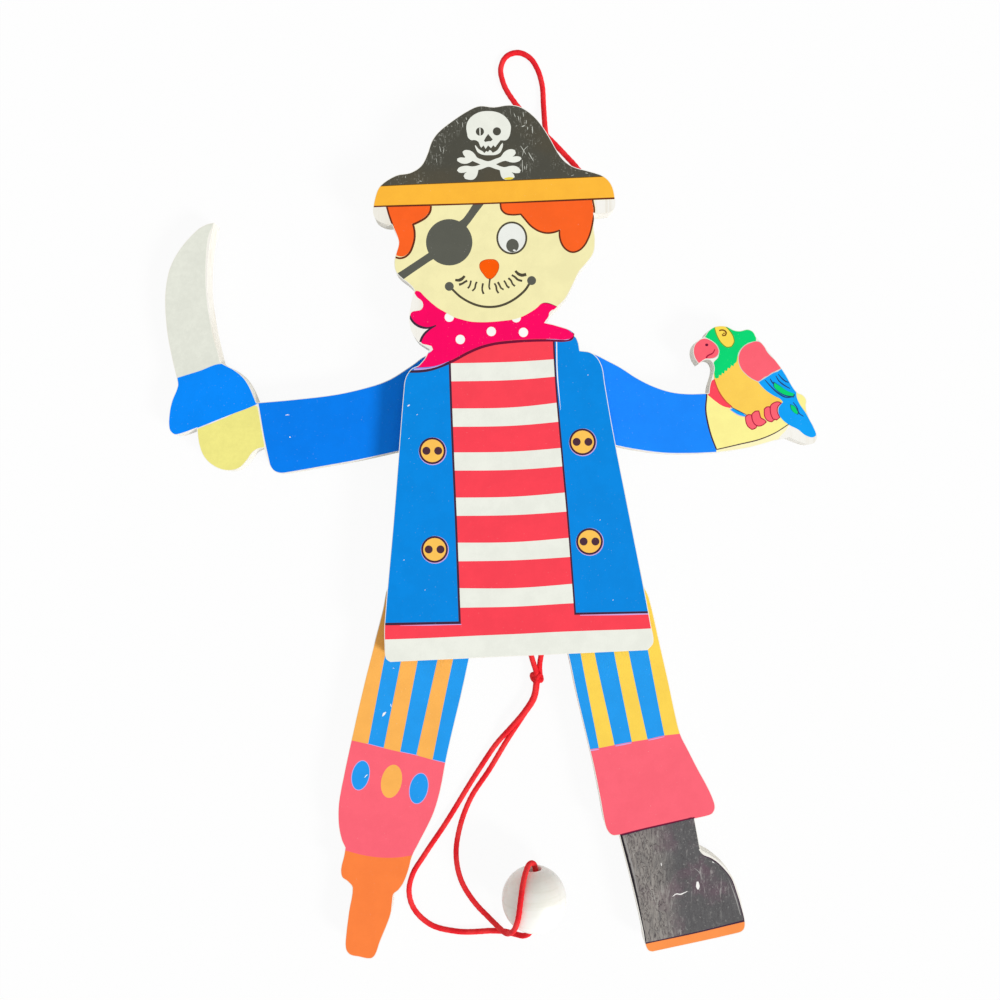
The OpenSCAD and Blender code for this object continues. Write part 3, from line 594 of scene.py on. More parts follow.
# Artwork: outlines in pixels of the photograph, cut by each board's own edge
front_z = {"body_board": 17.3, "sabre_arm": 9.15, "parrot_arm": 9.15, "peg_leg": 9.15, "boot_leg": 9.15}
ink_h = 0.04
ink_sink = 0.02
rim = 0.2
inside_cells = 1
cut_slack = 0.0005
inks = {"coat_blue": (0, 137, 227), "sleeve_blue": (0, 126, 240), "guard_blue": (0, 138, 252),
    "sleeve_light": (24, 137, 255), "shirt_red": (252, 68, 84), "off_white": (238, 240, 230),
    "bare_white": (252, 251, 247), "eye_white": (236, 238, 232), "magenta": (253, 0, 98),
    "cream": (245, 237, 180), "orange_hair": (252, 100, 35), "orange_nose": (252, 92, 0),
    "nose_line": (196, 84, 24), "line_dark": (66, 38, 62), "hair_line": (104, 44, 24),
    "face_line": (78, 72, 56), "hat_edge": (112, 78, 20), "bone_yellow": (240, 216, 70),
    "band_amber": (255, 186, 58), "patch_grey": (92, 93, 84), "button_amber": (255, 198, 90),
    "button_hole": (78, 48, 62), "hand_yellow": (242, 234, 136), "pale_yellow": (255, 244, 152),
    "hand_pale": (255, 247, 196), "peg_amber": (253, 182, 88), "stripe_blue": (34, 156, 240),
    "boot_amber": (254, 214, 84), "cuff_pink": (255, 103, 120), "peg_orange": (255, 132, 64),
    "sole_orange": (255, 150, 78), "lilac": (206, 172, 232), "pale_grey": (208, 210, 200),
    "scuff_grey": (196, 198, 188), "parrot_green": (0, 215, 116), "parrot_pink": (255, 100, 116),
    "parrot_amber": (255, 209, 88), "parrot_blue": (10, 164, 250), "parrot_red": (255, 72, 92),
    "eye_amber": (255, 222, 84), "eye_rim": (96, 150, 40), "maroon_line": (116, 16, 54),
    "boot_heel_painted_shade": (38, 34, 40), "boot_ridge": (156, 154, 152), "breast_line": (206, 78, 58),
    "red_line": (172, 24, 62), "brown_line": (124, 74, 22), "feather_dark": (34, 66, 118),
    "hat_black": (78, 77, 68), "blade_grey": (229, 231, 219), "boot_black": (94, 93, 94)}
# Dents give a hammered surface with painted shade in its hollows
special = {"hat_black": {"wear": hat_wear}, "boot_black": {"wear": boot_wear}, "blade_grey": {"dents": 2.5},
    "hand_yellow": {"dents": 1.8}}
ink_finishes = {name: print_paint(name, rgb, **special.get(name, {})) for name, rgb in inks.items()}


def board_loops(node, z, slack=0.01):
    """The loops, in mm, round the flat front face of a board: its outer edge first, then its holes."""
    mesh = nodes[node].data
    flat = {v.index for v in mesh.vertices if abs(v.co.z / mm - z) < slack}
    follows = {}
    for face in mesh.polygons:
        corners = list(face.vertices)
        if all(i in flat for i in corners):
            for a, b in zip(corners, corners[1:] + corners[:1]):
                if follows.get(b, {}).pop(a, None) is None:
                    follows.setdefault(a, {})[b] = True
    loops = []
    left = {a: list(b) for a, b in follows.items() if b}
    while left:
        start = here = next(iter(left))
        loop = []
        while here in left:
            loop.append(Vector((mesh.vertices[here].co / mm)[:2]))
            there = left[here].pop()
            if not left[here]:
                del left[here]
            here = there
            if here == start:
                break
        loops.append(loop)
    return sorted(loops, key=lambda loop: -abs(area(loop)))


def anticlockwise(loop):
    """A loop that runs anticlockwise."""
    return loop if area(loop) > 0 else loop[::-1]


def thin_out(loop, least=0.06):
    """A loop without points that lie nearly on top of each other."""
    kept = []
    for p in loop:
        if not kept or (p - kept[-1]).length > least:
            kept.append(p)
    while (kept[0] - kept[-1]).length < least:
        kept.pop()
    return kept


def slab(spots, cells, z):
    """Points and faces of a slab of ink with these flat cells as its top, sunk a little in the board."""
    used = sorted({i for cell in cells for i in cell})
    number = {i: k for k, i in enumerate(used)}
    n = len(used)
    verts = [(spots[i].x, spots[i].y, height) for height in (z + ink_h, z - ink_sink) for i in used]
    faces, rims = [], {}
    for cell in cells:
        top = [number[i] for i in (cell if area([spots[i] for i in cell]) > 0 else cell[::-1])]
        faces += [top, [i + n for i in top[::-1]]]
        for a, b in zip(top, top[1:] + top[:1]):
            if rims.pop((b, a), None) is None:
                rims[(a, b)] = True
    return verts, faces + [(b, a, a + n, b + n) for a, b in rims]


def print_board(node, body, artwork):
    """Lays the artwork on a board's front: one slab of ink for each piece, later layers over earlier ones."""
    z = front_z[node]
    outer, *holes = [anticlockwise(loop) for loop in board_loops(node, z)]
    shapes = [(None, thin_out(offset(outer, -rim)))]
    for piece, ink, outlines in [layer for part in artwork for layer in part]:
        for points in outlines:
            loop = thin_out([Vector(at(p[0], p[1], z)) for p in points])
            shapes.append((piece and (piece, ink), anticlockwise(loop)))
    shapes += [(None, thin_out(offset(thin_out(hole), rim))) for hole in holes]
    verts, faces = [], []
    for _, loop in shapes:
        faces.append(list(range(len(verts), len(verts) + len(loop))))
        verts += loop
    spots, _, cells, _, _, sources = delaunay_2d_cdt(verts, [], faces, inside_cells, cut_slack, True)
    cut = {}
    for cell, source in zip(cells, sources):
        if 0 in source and shapes[max(source)][0]:
            cut.setdefault(shapes[max(source)][0], []).append(list(cell))
    for (piece, ink), cells in cut.items():
        finish_piece(mesh_object(piece, *slab(spots, cells, z), smooth=False), body, ink_finishes[ink])


# Each of these gives a list of layers, each with its piece, its ink and its outlines
def drawn(piece, ink, *outlines):
    """Outlines as they are."""
    return [(piece, ink, outlines)]


def fill(piece, ink, *outlines):
    """Filled smooth outlines."""
    return drawn(piece, ink, *[curve(points, closed=True) for points in outlines])


def pens(piece, ink, *strokes, wide=1.0):
    """Pen strokes, each as its points and its widths, which wide multiplies."""
    return drawn(piece, ink, *[stroke(points, [w * wide for w in widths]) for points, widths in strokes])


def outlined(piece, ink, line_piece, line_ink, points, outside=0.5, inside=0.5):
    """A filled smooth outline with a line round it."""
    loop = curve(points, closed=True)
    way = 1 if area(loop) > 0 else -1
    line = drawn(line_piece, line_ink, offset(loop, way * outside))
    return line + drawn(piece, ink, offset(loop, -way * inside))


def unprinted(*outlines):
    """Parts of the front that carry no print."""
    return drawn(None, None, *[[Vector(p) for p in points] for points in outlines])


def moved(points, right, down=0):
    """Points moved by these pixels."""
    return [(x + right, y + down) for x, y in points]


def spread_out(points, middle, wide, high):
    """Points moved away from a middle by these shares."""
    return [(x + (x - middle[0]) * wide, y + (y - middle[1]) * high) for x, y in points]


# Body board
shirt_left = [(449.8, 358), (450.2, 372), (453, 450), (456, 519.6), (460, 623.4)]
shirt_right = [(552.6, 335), (554.2, 372), (560.6, 450), (566.9, 519.6), (574.2, 614.6)]
shirt_sides = (440, 590)
stripe_rows = [((340, 336, 330), (363.5, 361.7, 356.6)), ((381.6, 379.9, 373.2), (408.6, 407.2, 398.3)),
    ((427, 425.6, 418.5), (452.5, 451.5, 445.2)), ((470.7, 469.8, 464.1), (497.7, 496.6, 490.1)),
    ((516, 515, 509.9), (542.7, 542, 535.9)), ((561.5, 560.3, 555.6), (588, 588, 582.3))]
hem_low = [(665, 627.6), (640, 629), (600, 630.3), (555, 632), (520, 633.8), (480, 635.5), (430, 637.9),
    (370, 640)]


def row(left, right, top, bottom):
    """A stripe between two bowed lines, each given by its heights at the left, the middle and the right."""
    across = (left, (left + right) / 2, right)
    return list(zip(across, top)) + list(zip(across, bottom))[::-1]


left_line_out = 0.9
left_fill_back = 1.2
right_line_out = 0.2
right_fill_out = 2
stripes = [row(*shirt_sides, *heights) for heights in stripe_rows]
coat_top = [(370, 366), (414, 366), (424, 356), (430, 352)]
coat_left = coat_top + [(450.6, 345)] + moved(shirt_left[:-1], left_line_out) + [(460.9, 624), (370, 625.6)]
coat_right = [(665, 320), (553, 320)] + moved(shirt_right[:-1], right_line_out) + [(574.4, 614.8),
    (665, 612.9)]
chin_line = [(414.2, 292.5), (416, 290.8), (419, 291.2), (424, 296), (431, 302.5), (438, 308), (444.5, 311.8),
    (450, 315), (454.4, 317.3), (460, 319), (470, 321.5), (480, 322.2), (493, 321.8), (505, 320.6),
    (511.5, 319.8), (520.8, 317.2), (530, 312.5), (538, 306.8), (541, 303.8)]
chin = [(400, 280)] + chin_line + [(545, 302.6), (551, 303.8), (558.5, 306.8), (575, 300), (620, 300),
    (620, 190), (360, 190), (360, 280)]
scarf = chin_line + [(545, 303.3), (551, 304.5), (558.5, 307.5), (557, 308.8), (552, 310), (549, 313),
    (548.8, 316), (546, 320), (544, 323), (548, 324), (560, 326.5), (569, 330.5), (573.5, 334),
    (573.5, 335.5), (571, 338.3), (567, 339.3), (550, 338.8), (530, 339), (510, 340.3), (495, 342.3),
    (480, 346.2), (468, 351.2), (455, 358.2), (445, 362.8), (435, 366), (425, 367.3), (416.5, 367.6),
    (417, 366), (424.5, 358.5), (426.5, 354.5), (430, 352.5), (433, 349.5), (431.5, 346), (427, 344.8),
    (422, 343.5), (420.4, 341.5), (421.5, 338), (425, 333), (430, 328.5), (435.8, 325.8), (430, 327),
    (424, 327), (418, 325.5), (413, 321.5), (410.7, 318), (410.3, 315), (412, 312), (416, 311), (421, 309.8),
    (423, 307), (422.8, 302.5), (421, 300), (417.5, 297.5)]
hair_left_edge = [(387, 206.5), (388.6, 213), (390.9, 220), (393, 226)]
hair_left = [(387.8, 196), (387.8, 206.5), (389.4, 213), (391.7, 220), (393.8, 226), (388, 236), (390, 250),
    (391, 258.5), (395.4, 257.2), (399, 258.3), (404.6, 257.2), (409.6, 252.9), (412.6, 246.5), (414.4, 239),
    (414.4, 231), (413.1, 224.5), (420, 221.3), (426.5, 217), (430.4, 211), (431, 206), (431, 196)]
hair_right = [(500.3, 195), (500.5, 204.2), (501.7, 210), (505.8, 213.7), (511.7, 214.7), (520.8, 214.2),
    (525, 219.2), (530.8, 225.8), (538.3, 230.8), (546.7, 233), (555, 232), (559.5, 230.3), (559.7, 236.7),
    (561.5, 243.3), (565.8, 249.2), (572.5, 252.2), (578.3, 250.8), (583.3, 246.7), (588.3, 238.3),
    (591.3, 229), (592.9, 221), (594.2, 213.5), (594.2, 208), (593.2, 203), (592.3, 198)]
strap = [(475, 203), (468.3, 211.7), (462.5, 219.2), (458, 222.5), (455, 232), (464, 234), (466.7, 226.7),
    (470, 222.5), (476.7, 213.3), (485.5, 202)]
strap_low = [(440, 246.6), (428, 253.3), (421.7, 257.5), (411.7, 264.1), (399, 272.4), (392, 276.4),
    (398, 284), (404.7, 278.5), (411, 274), (421, 267.2), (433.3, 259.2), (446, 254)]
nose = [(479.2, 265.5), (480.3, 262.2), (484, 260), (490, 259.1), (495.5, 259.8), (498.6, 262.8),
    (499.2, 267.5), (497.5, 272.5), (494, 277.3), (490.5, 279.8), (487, 278.5), (483, 274), (480.2, 270)]
moustache = [([(455.2, 280), (459, 280.3), (462, 278.8), (464.7, 276)], (1.8, 2.6, 1.8)),
    ([(459, 284.7), (462, 283.8), (464.5, 282.2), (467.3, 280.6)], (1.9, 1.6, 1.7)),
    ([(471, 280.6), (470.3, 284), (469, 287), (467.7, 288.3)], (1.4, 1.3, 1.5)),
    ([(476.8, 281.8), (475.6, 284.5), (475, 288), (472.2, 291)], (1.5, 1.4, 1.3)),
    ([(483, 283.3), (482.3, 287), (482.3, 290.5), (483.7, 294)], (1.6, 1.3, 1.6)),
    ([(490, 278.5), (489.3, 284), (489.1, 287), (490.1, 289.6)], (1.3, 1.3, 1.3)),
    ([(494.4, 283.3), (496, 286), (496.8, 290.5), (498.6, 293.2)], (1.4, 1.5, 1.4)),
    ([(497.8, 282.1), (499.5, 285), (501, 288), (503.7, 289.6)], (1.7, 1.4, 1.3)),
    ([(504, 280.6), (505.8, 283.5), (507.3, 286.5), (509.5, 287.7)], (1.4, 1.4, 1.6)),
    ([(508.3, 278.1), (511, 280.5), (512.5, 284), (515, 286.2)], (1.6, 1.4, 1.4)),
    ([(511.7, 275.1), (515, 277), (517.5, 279.5), (522.2, 281)], (1.5, 1.7, 1.7)),
    ([(515.3, 270.8), (518, 273.7), (521.5, 275.2), (526.3, 274.4)], (1.8, 2.5, 2.4))]
smile = [(452, 289), (460, 296.5), (469, 302), (480, 306), (490, 307), (500, 305.8), (510, 301.8), (520, 295),
    (526, 289), (530, 282.5)]
band = [(360, 187.6), (382, 186.4), (490, 181.8), (604.6, 176.8), (630, 175.6), (630, 196.8), (614.5, 197.4),
    (490, 202.6), (376, 205.8), (360, 206.4)]
hat = [(360, 90), (630, 90), (630, 174.8), (604.6, 176), (490, 181), (381, 185.6), (360, 186.4)]
skull = [(466.3, 128), (467, 133), (468.3, 138), (470.5, 140), (475.5, 140.2), (478.5, 142), (480, 146),
    (481.3, 147.8), (483.6, 145.4), (485.5, 148.9), (488.2, 145.4), (491, 148.2), (493.3, 145.2),
    (495.2, 147.3), (498, 143.5), (500.5, 140.3), (506.5, 140), (509, 137), (510.6, 131), (510.8, 126),
    (509, 121.5), (506, 117.5), (501, 113.8), (495, 111.7), (488, 111.1), (480, 112), (474.5, 114.5),
    (470, 118.2), (467.3, 122.5)]
skull_nose = [(488.2, 134), (492.8, 139.5), (491, 141.2), (488.5, 141.3), (485, 142), (484, 140.5),
    (486, 137)]
jaw = [(474.8, 145.8), (476, 149), (477.5, 152), (480.5, 154), (484, 155), (490, 155.2), (496, 154.8),
    (500, 152.8), (502, 149), (503, 145), (502.6, 142.8), (501, 144.5), (499, 148), (497, 150.5),
    (494.5, 152), (492.7, 152.8), (491, 150.6), (489.5, 150), (488, 152), (486.3, 151), (484.5, 153.2),
    (482.5, 151.2), (480, 150), (477.5, 147.8), (475.5, 145.2)]
bones = [(462.5, 152), (464, 150.5), (468, 150.1), (472, 151.5), (475, 154.5), (477, 157.5), (481, 159.2),
    (488.5, 161.3), (495, 159), (501, 156.5), (503.5, 152.8), (507, 150.2), (512, 149.2), (515, 150.3),
    (515.8, 153), (514.5, 155.2), (512.5, 156.8), (517, 156.2), (520.5, 157), (521.5, 159), (519.5, 161),
    (515, 162.5), (510, 162.2), (505.5, 160.8), (501, 162), (496, 164.3), (500, 166.2), (505, 167.2),
    (509, 166.2), (514, 165.8), (518.5, 167.5), (520.8, 170.5), (519.5, 173), (515.5, 173.2), (511.5, 172.2),
    (514, 174.8), (514.7, 177.2), (512.5, 179), (508, 179.8), (504, 179.4), (501.5, 177), (500.3, 173),
    (499.8, 170.2), (495, 168.8), (488.5, 166.8), (482, 169), (478.3, 170), (477.8, 173), (476.5, 176.5),
    (474, 179.2), (469, 179.8), (465, 178.8), (463.6, 176), (464.8, 173.5), (467.5, 171.8), (463.5, 172.8),
    (459, 172.5), (457, 170.5), (458.5, 168), (462, 166.4), (467, 165.8), (472, 166.5), (476, 166),
    (480.5, 164.5), (476, 162.5), (472.5, 161), (470, 162.5), (466, 163.8), (460.5, 163), (457.3, 161),
    (457.2, 158.8), (460, 157.5), (464.5, 157.8), (465.3, 157), (463.3, 154.5)]
bone_tip = [(504, 178.2), (509, 177.2), (514, 177.6), (512.5, 179), (508, 179.8), (504.5, 179.4)]
button_r = 11.4
button_rim_r = 13.4
button_halo_r = 13.9
button_hole_r = 4
halo_right = 0.3
halo_down = 0.4
button_hole_out = 5.9
buttons = [(432.3, 450.8), (582.5, 441.9), (434.6, 549.4), (589.5, 541.5)]
scarf_dot_r = 4.7
scarf_dots = [(460.3, 339.5), (491.3, 331.5), (523.4, 332.4), (449.3, 317.2), (516.2, 317.8)]
chip_slope = 0.6
coat_chips = [(408.6, 405.5, 1.2, 0.6), (417, 414.6, 0.5, 0.5), (409, 438.5, 0.5, 0.4), (588, 375, 0.4, 0.5),
    (600, 520, 0.5, 0.4), (404, 560, 0.5, 0.5), (613, 600, 0.4, 0.6), (425, 590, 0.4, 0.4)]
hat_scratches = [([(446, 123), (447.5, 127)], 0.7), ([(444, 148), (443, 154)], 0.6),
    ([(439.5, 146), (441, 152)], 0.6), ([(523, 112), (523.6, 117)], 0.7),
    ([(521.8, 126.8), (524.8, 125.4)], 1.2), ([(526.5, 120.5), (526, 124)], 0.8),
    ([(527.6, 127), (527.7, 129.6)], 1.0), ([(532.3, 126.6), (532.6, 133.4)], 1.1),
    ([(520.5, 146), (523, 149.6), (526, 154.5)], 0.8), ([(528, 146), (524, 150), (522.4, 156)], 0.6),
    ([(528.5, 152.5), (531, 157), (533.5, 161)], 0.9), ([(522.4, 160), (522.6, 172)], 0.7),
    ([(524.5, 166), (524.8, 169.5)], 0.7), ([(527, 164), (526.2, 170)], 0.6),
    ([(419.5, 181), (421.6, 181.4)], 1.4), ([(405.3, 176), (405.6, 178)], 0.9),
    ([(456, 120.4), (458.5, 124)], 0.6), ([(466, 117.4), (466.6, 120)], 0.8),
    ([(462.5, 122.5), (462.8, 127.5)], 0.7), ([(585.5, 173), (588, 173.4)], 0.7),
    ([(571, 176), (574, 174.8)], 0.5), ([(514, 113.5), (515.4, 117.2)], 0.7),
    ([(518, 116), (519, 120.4)], 0.7), ([(436, 158), (437, 163)], 0.5)]
eye_scratch = [(479.9, 127.8), (480.1, 135.6)]
shirt_back = [(370, 330), (665, 330), (665, 665), (370, 668)]
hem_stripe = [(370, 609.4), (460, 607.7), (515, 606.6), (574, 603.2), (665, 601)] + hem_low
hem_glints = [([(580, 615.2), (620, 614.5), (665, 613.4)], (0.6, 1.4, 1.2)),
    ([(400, 625.6), (461.4, 624.4)], (0.2, 1, 0.8))]
coat_left_fill = coat_top + [(448, 345)] + moved(shirt_left[:-1], -left_fill_back) + [(458.6, 621.4),
    (370, 623.2)]
coat_right_fill = [(665, 320), (554.6, 320)] + moved(shirt_right[:-1], right_fill_out) + [(576, 612.6),
    (665, 610.8)]
coat_side_glint = ([(556.6, 341), (557.2, 372), (560.6, 410)], (0.9, 1.1, 0.2))


def button(x, y):
    """A button: its halo, its dark rim, its face and its two holes."""
    holes = [ring(x - button_hole_out, y, button_hole_r), ring(x + button_hole_out, y, button_hole_r)]
    return (drawn("button_halo", "lilac", ring(x + halo_right, y + halo_down, button_halo_r))
        + drawn("button_line", "line_dark", ring(x, y, button_rim_r))
        + drawn("button_print", "button_amber", ring(x, y, button_r))
        + drawn("button_line", "button_hole", *holes))


def chip(x, y, w, h):
    """The stroke of a small chip, w to each side of x, y."""
    rise = w * chip_slope
    return [(x - w, y + rise), (x + w, y - rise)], (h, h * 2, h)


scarf_gap = [(400, 318), (413, 322), (424, 326.5), (436.2, 325.4), (429, 332), (419, 343), (400, 345)]
scarf_low_lines = [([(573, 332), (574.3, 335), (571, 339.4), (566, 340.6), (550, 340.4), (530, 340.7),
    (510, 342), (495, 343.8), (480, 347.7), (468, 352.9), (456, 359.4), (449, 363)], (2, 2.7, 2.7)),
    ([(540.6, 303.6), (545, 302.7), (551.5, 304), (558.6, 307.4)], (1.6, 2.2, 2))]
scarf_tail_line = ([(449.6, 362.7), (440, 366.6), (430, 369.8), (420, 371.3), (408, 371.6)], (2.7, 2.7, 2.4))
scarf_glints = [([(572.5, 336), (569, 339), (560, 339.4), (546, 339.1)], (0.4, 0.6, 0.2)),
    ([(446, 362.8), (437, 366.4), (427, 368.6), (414, 369.3)], (0.2, 1, 1.6))]
scarf_high_lines = [([(409.6, 316), (412, 320.5), (416, 324.5), (421, 327), (427, 328), (432, 327),
    (436, 325.4)], (2, 2.5, 1)), ([(436, 325.6), (430, 329), (425.3, 333), (422, 337.7), (420.3, 342)],
    (1, 2.3, 2.2))]
scarf_rounds = [ring(x, y, scarf_dot_r) for x, y in scarf_dots]
hair_lines = [(hair_left[8:20], (1.4, 1.7, 1.5)), (hair_left_edge, (1.5, 1.5, 1.3)),
    (hair_right, (1.4, 1.4, 1.2))]
hair_left_fill = hair_left[:8] + [(396.5, 255.4), (400, 256.6), (404.6, 255.8), (408.9, 252.1), (411.7, 246),
    (413.5, 239), (413.5, 231), (412, 223.9), (419.4, 220.4), (425.7, 216.2), (429.4, 210.8), (430, 206),
    (430, 196)]
hair_right_fill = [(501.2, 195), (501.3, 204), (502.4, 209.6), (506.2, 213), (511.8, 214), (521.2, 213.5),
    (525.6, 218.7), (531.4, 225.2), (538.6, 230.1), (546.8, 232.2), (554.8, 231.2), (560.2, 229.3),
    (560.5, 236.5), (562.3, 243), (566.3, 248.6), (572.6, 251.4), (577.9, 250.1), (582.7, 246.2),
    (587.5, 238), (590.5, 229), (592.1, 221), (593.3, 213.5), (593.3, 208), (592.3, 203), (591.4, 195)]
eye_patch = ring(449.2, 242.3, 23.2, count=48)
eye_socket = ring(511.8, 238, 15.5, 16.5, count=40)
eye_white = ring(511.8, 238, 13.6, 14.6, count=40)
pupil = ring(512.5, 245.6, 6.3, 6.8)
eye_glint = ring(514.4, 250.4, 1.5, 0.9, 20, 12)
nose_middle = (489.6, 268)
nose_share = 0.93
nose_fill = [(nose_middle[0] + (x - nose_middle[0]) * nose_share,
    nose_middle[1] + (y - nose_middle[1]) * nose_share) for x, y in nose]
smile_line = (smile, (1.7, 1.8, 1.8))
mouth_ends = [ring(449.3, 286.4, 4.5), ring(531.6, 280.6, 4.5)]
band_line = [(360, 206), (490, 202.4), (630, 196.6), (630, 198.5), (490, 204.1), (360, 207.9)]
tab_gaps = [[(360, 207.7), (386, 206.8), (387.6, 213), (389.9, 220), (391.9, 226), (391.9, 231), (360, 235)],
    [(594.2, 200.1), (594.6, 203), (595.4, 208), (595.4, 213.5), (594.1, 221), (593, 226), (594, 235),
    (630, 235), (630, 198.8)]]
brim_line = [(360, 186), (490, 180.6), (630, 174.4), (630, 178), (490, 183), (360, 188)]
skull_eyes = [ring(479.9, 131.6, 4.1), ring(496.9, 131.4, 4.1)]
eye_scratch_line = (eye_scratch, (0.9, 1.2, 0.8))
tip_in = 0.5
tip_out = 0.4
scratch_lines = [(line, (w * tip_in, w, w * tip_out)) for line, w in hat_scratches]
print_board("body_board", "root", [
    fill("shirt_white_print", "off_white", shirt_back),
    fill("shirt_red_print", "shirt_red", *stripes, hem_stripe),
    pens("coat_edge_halo", "lilac", *hem_glints),
    fill("coat_line", "line_dark", coat_left, coat_right),
    fill("coat_left_print", "coat_blue", coat_left_fill),
    fill("coat_right_print", "coat_blue", coat_right_fill),
    pens("coat_edge_halo", "bare_white", coat_side_glint),
    *[button(x, y) for x, y in buttons],
    pens("coat_chips", "bare_white", *[chip(*place) for place in coat_chips]),
    unprinted(scarf_gap),
    pens("scarf_lower_line", "maroon_line", *scarf_low_lines),
    pens("scarf_lower_line", "line_dark", scarf_tail_line),
    pens("scarf_halo", "lilac", *scarf_glints),
    fill("scarf_print", "magenta", scarf),
    pens("scarf_upper_line", "line_dark", *scarf_high_lines),
    drawn("scarf_dots_print", "bare_white", *scarf_rounds),
    fill("face_print", "cream", chin),
    pens("hair_line", "hair_line", *hair_lines, wide=1.35),
    fill("hair_left_print", "orange_hair", hair_left_fill),
    fill("hair_right_print", "orange_hair", hair_right_fill),
    drawn("eye_patch_print", "patch_grey", eye_patch),
    fill("eye_patch_print", "patch_grey", strap, strap_low),
    drawn("eye_line", "face_line", eye_socket),
    drawn("eye_print", "eye_white", eye_white),
    drawn("pupil_print", "patch_grey", pupil),
    drawn("eye_print", "eye_white", eye_glint),
    fill("nose_line", "nose_line", nose),
    fill("nose_print", "orange_nose", nose_fill),
    pens("mouth_print", "face_line", smile_line, *moustache, wide=1.3),
    drawn("mouth_print", "patch_grey", *mouth_ends),
    fill("hat_band_line", "hair_line", band_line),
    unprinted(*tab_gaps),
    fill("hat_line", "hat_edge", brim_line),
    fill("hat_band_print", "band_amber", band),
    fill("hat_print", "hat_black", hat),
    fill("skull_print", "off_white", skull, jaw, bones),
    drawn("hat_print", "hat_black", *skull_eyes),
    fill("hat_print", "hat_black", skull_nose),
    pens("skull_print", "off_white", eye_scratch_line),
    fill("bone_fringe_print", "bone_yellow", bone_tip),
    pens("hat_scratches", "scuff_grey", *scratch_lines)])

# Sabre arm
guard = [(160, 384), (177, 378), (200, 370.8), (219.6, 364), (226, 364), (234, 367), (242, 372.6),
    (249, 381.6), (254.4, 393), (260, 402.4), (255.4, 404.8), (226, 416.4), (197.3, 428), (179.5, 435.4),
    (160, 442)]
blade = [(150, 200), (216, 200), (213, 224), (208.6, 235), (206, 254.6), (205.4, 281.4), (207.4, 306),
    (210.6, 325), (214.6, 343), (220.6, 360), (224, 372), (150, 395)]
sabre_sleeve = [(257, 395), (430, 340), (430, 490), (278, 480), (271.6, 470), (269.6, 462), (266, 446),
    (258.6, 404)]
sabre_hand = [(190, 431.2), (199, 428.3), (226, 417.6), (254.8, 405.8), (257.4, 406.6), (264.4, 446.4),
    (262, 449), (257, 455), (250, 470), (241, 485), (205, 485), (188, 470)]
sleeve_chips = [([(285.4, 415.2), (287.6, 414.8), (289.4, 415)], (0.4, 0.8, 0.3)),
    ([(289.4, 437), (290.6, 437.2)], (1.2, 1.5, 1))]
print_board("sabre_arm", "sabre_arm", [
    fill("blade_print", "blade_grey", blade),
    fill("sabre_sleeve_print", "sleeve_blue", sabre_sleeve),
    fill("sabre_hand_print", "hand_yellow", sabre_hand),
    fill("guard_print", "guard_blue", guard),
    pens("sleeve_chips", "bare_white", *sleeve_chips)])

# Parrot arm
cuff = [(706.9, 385), (706.6, 396.4), (705.7, 409.3), (707.9, 423.6), (711.4, 436.4), (716.4, 449.3),
    (719, 458)]
palm = [(716.4, 449.6), (739.3, 444.3), (760.7, 439), (775, 432.9), (788.6, 424.3)]
beak = [(690, 344), (696.4, 342.9), (701.4, 339.3), (704.3, 338.6), (710.7, 340.7), (716.4, 345.7),
    (718.6, 352.1), (716.4, 356.4), (712.1, 358.3), (708.6, 358.6), (703.6, 362.1), (700.4, 366), (690, 362)]
head = [(698, 334), (704.3, 330), (710, 322), (745, 322), (756, 330), (756, 341), (747.9, 343.1),
    (742.1, 347.3), (738.8, 352.1), (737.3, 357.9), (736.4, 362.1), (733.9, 364.3), (733.6, 366.4),
    (731.4, 365.3), (730, 368.6), (727.9, 367.9), (727.1, 371), (724.7, 370.7), (724.3, 373.9),
    (722.1, 372.9), (721.4, 375.7), (719.3, 375), (718.6, 377.9), (716.4, 378.6), (714.7, 377.6), (714, 372),
    (714, 362), (717.9, 357.9), (719.3, 352.1), (717.9, 346.4), (713, 341.4), (708, 338.6)]
parrot_eye = [(714.6, 327.6), (717.9, 325), (723.6, 325.6), (729.3, 330.7), (732.9, 336.4), (733.9, 342.1),
    (731.4, 346.4), (727.1, 347.1), (722.9, 344.3), (718.6, 338.6), (716.1, 332.9)]
shoulder = [(745, 345.7), (750.7, 342.9), (756.4, 341.4), (760.6, 342.6), (764, 346.4), (766.4, 351),
    (774, 359.4), (784, 367), (781.4, 368.1), (775, 371.4), (771.4, 372.9), (767.9, 375.7), (764.3, 377.1),
    (760.7, 380), (757.9, 381.4), (752.1, 378.6), (746.4, 374.3), (741.4, 368.6), (738.9, 362.1),
    (739.5, 353.6), (742.1, 348.6)]
wing = [(782, 368.4), (788, 370), (793, 379), (796, 390), (796.6, 397.1), (799.3, 403.6), (805, 412.1),
    (810.7, 422.1), (815.7, 430.7), (816.4, 435), (813.6, 437.1), (806.4, 435.7), (797.9, 429.3),
    (789.3, 425), (782.1, 419.3), (778.6, 413.6), (778.6, 407.9), (782.9, 402.1), (780.7, 399.3),
    (775, 396.4), (766.4, 390.7), (760.7, 385), (758.6, 382.1), (762.1, 380), (767.9, 376.4), (773.6, 372.9),
    (777.9, 371.4)]
breast = [(712.9, 380), (708, 386.4), (708, 395), (715.7, 401.4), (723.6, 406.4), (730, 408.1),
    (732.1, 406.4), (726.4, 402.1), (720.7, 395), (716.4, 386.4), (714.3, 379)]
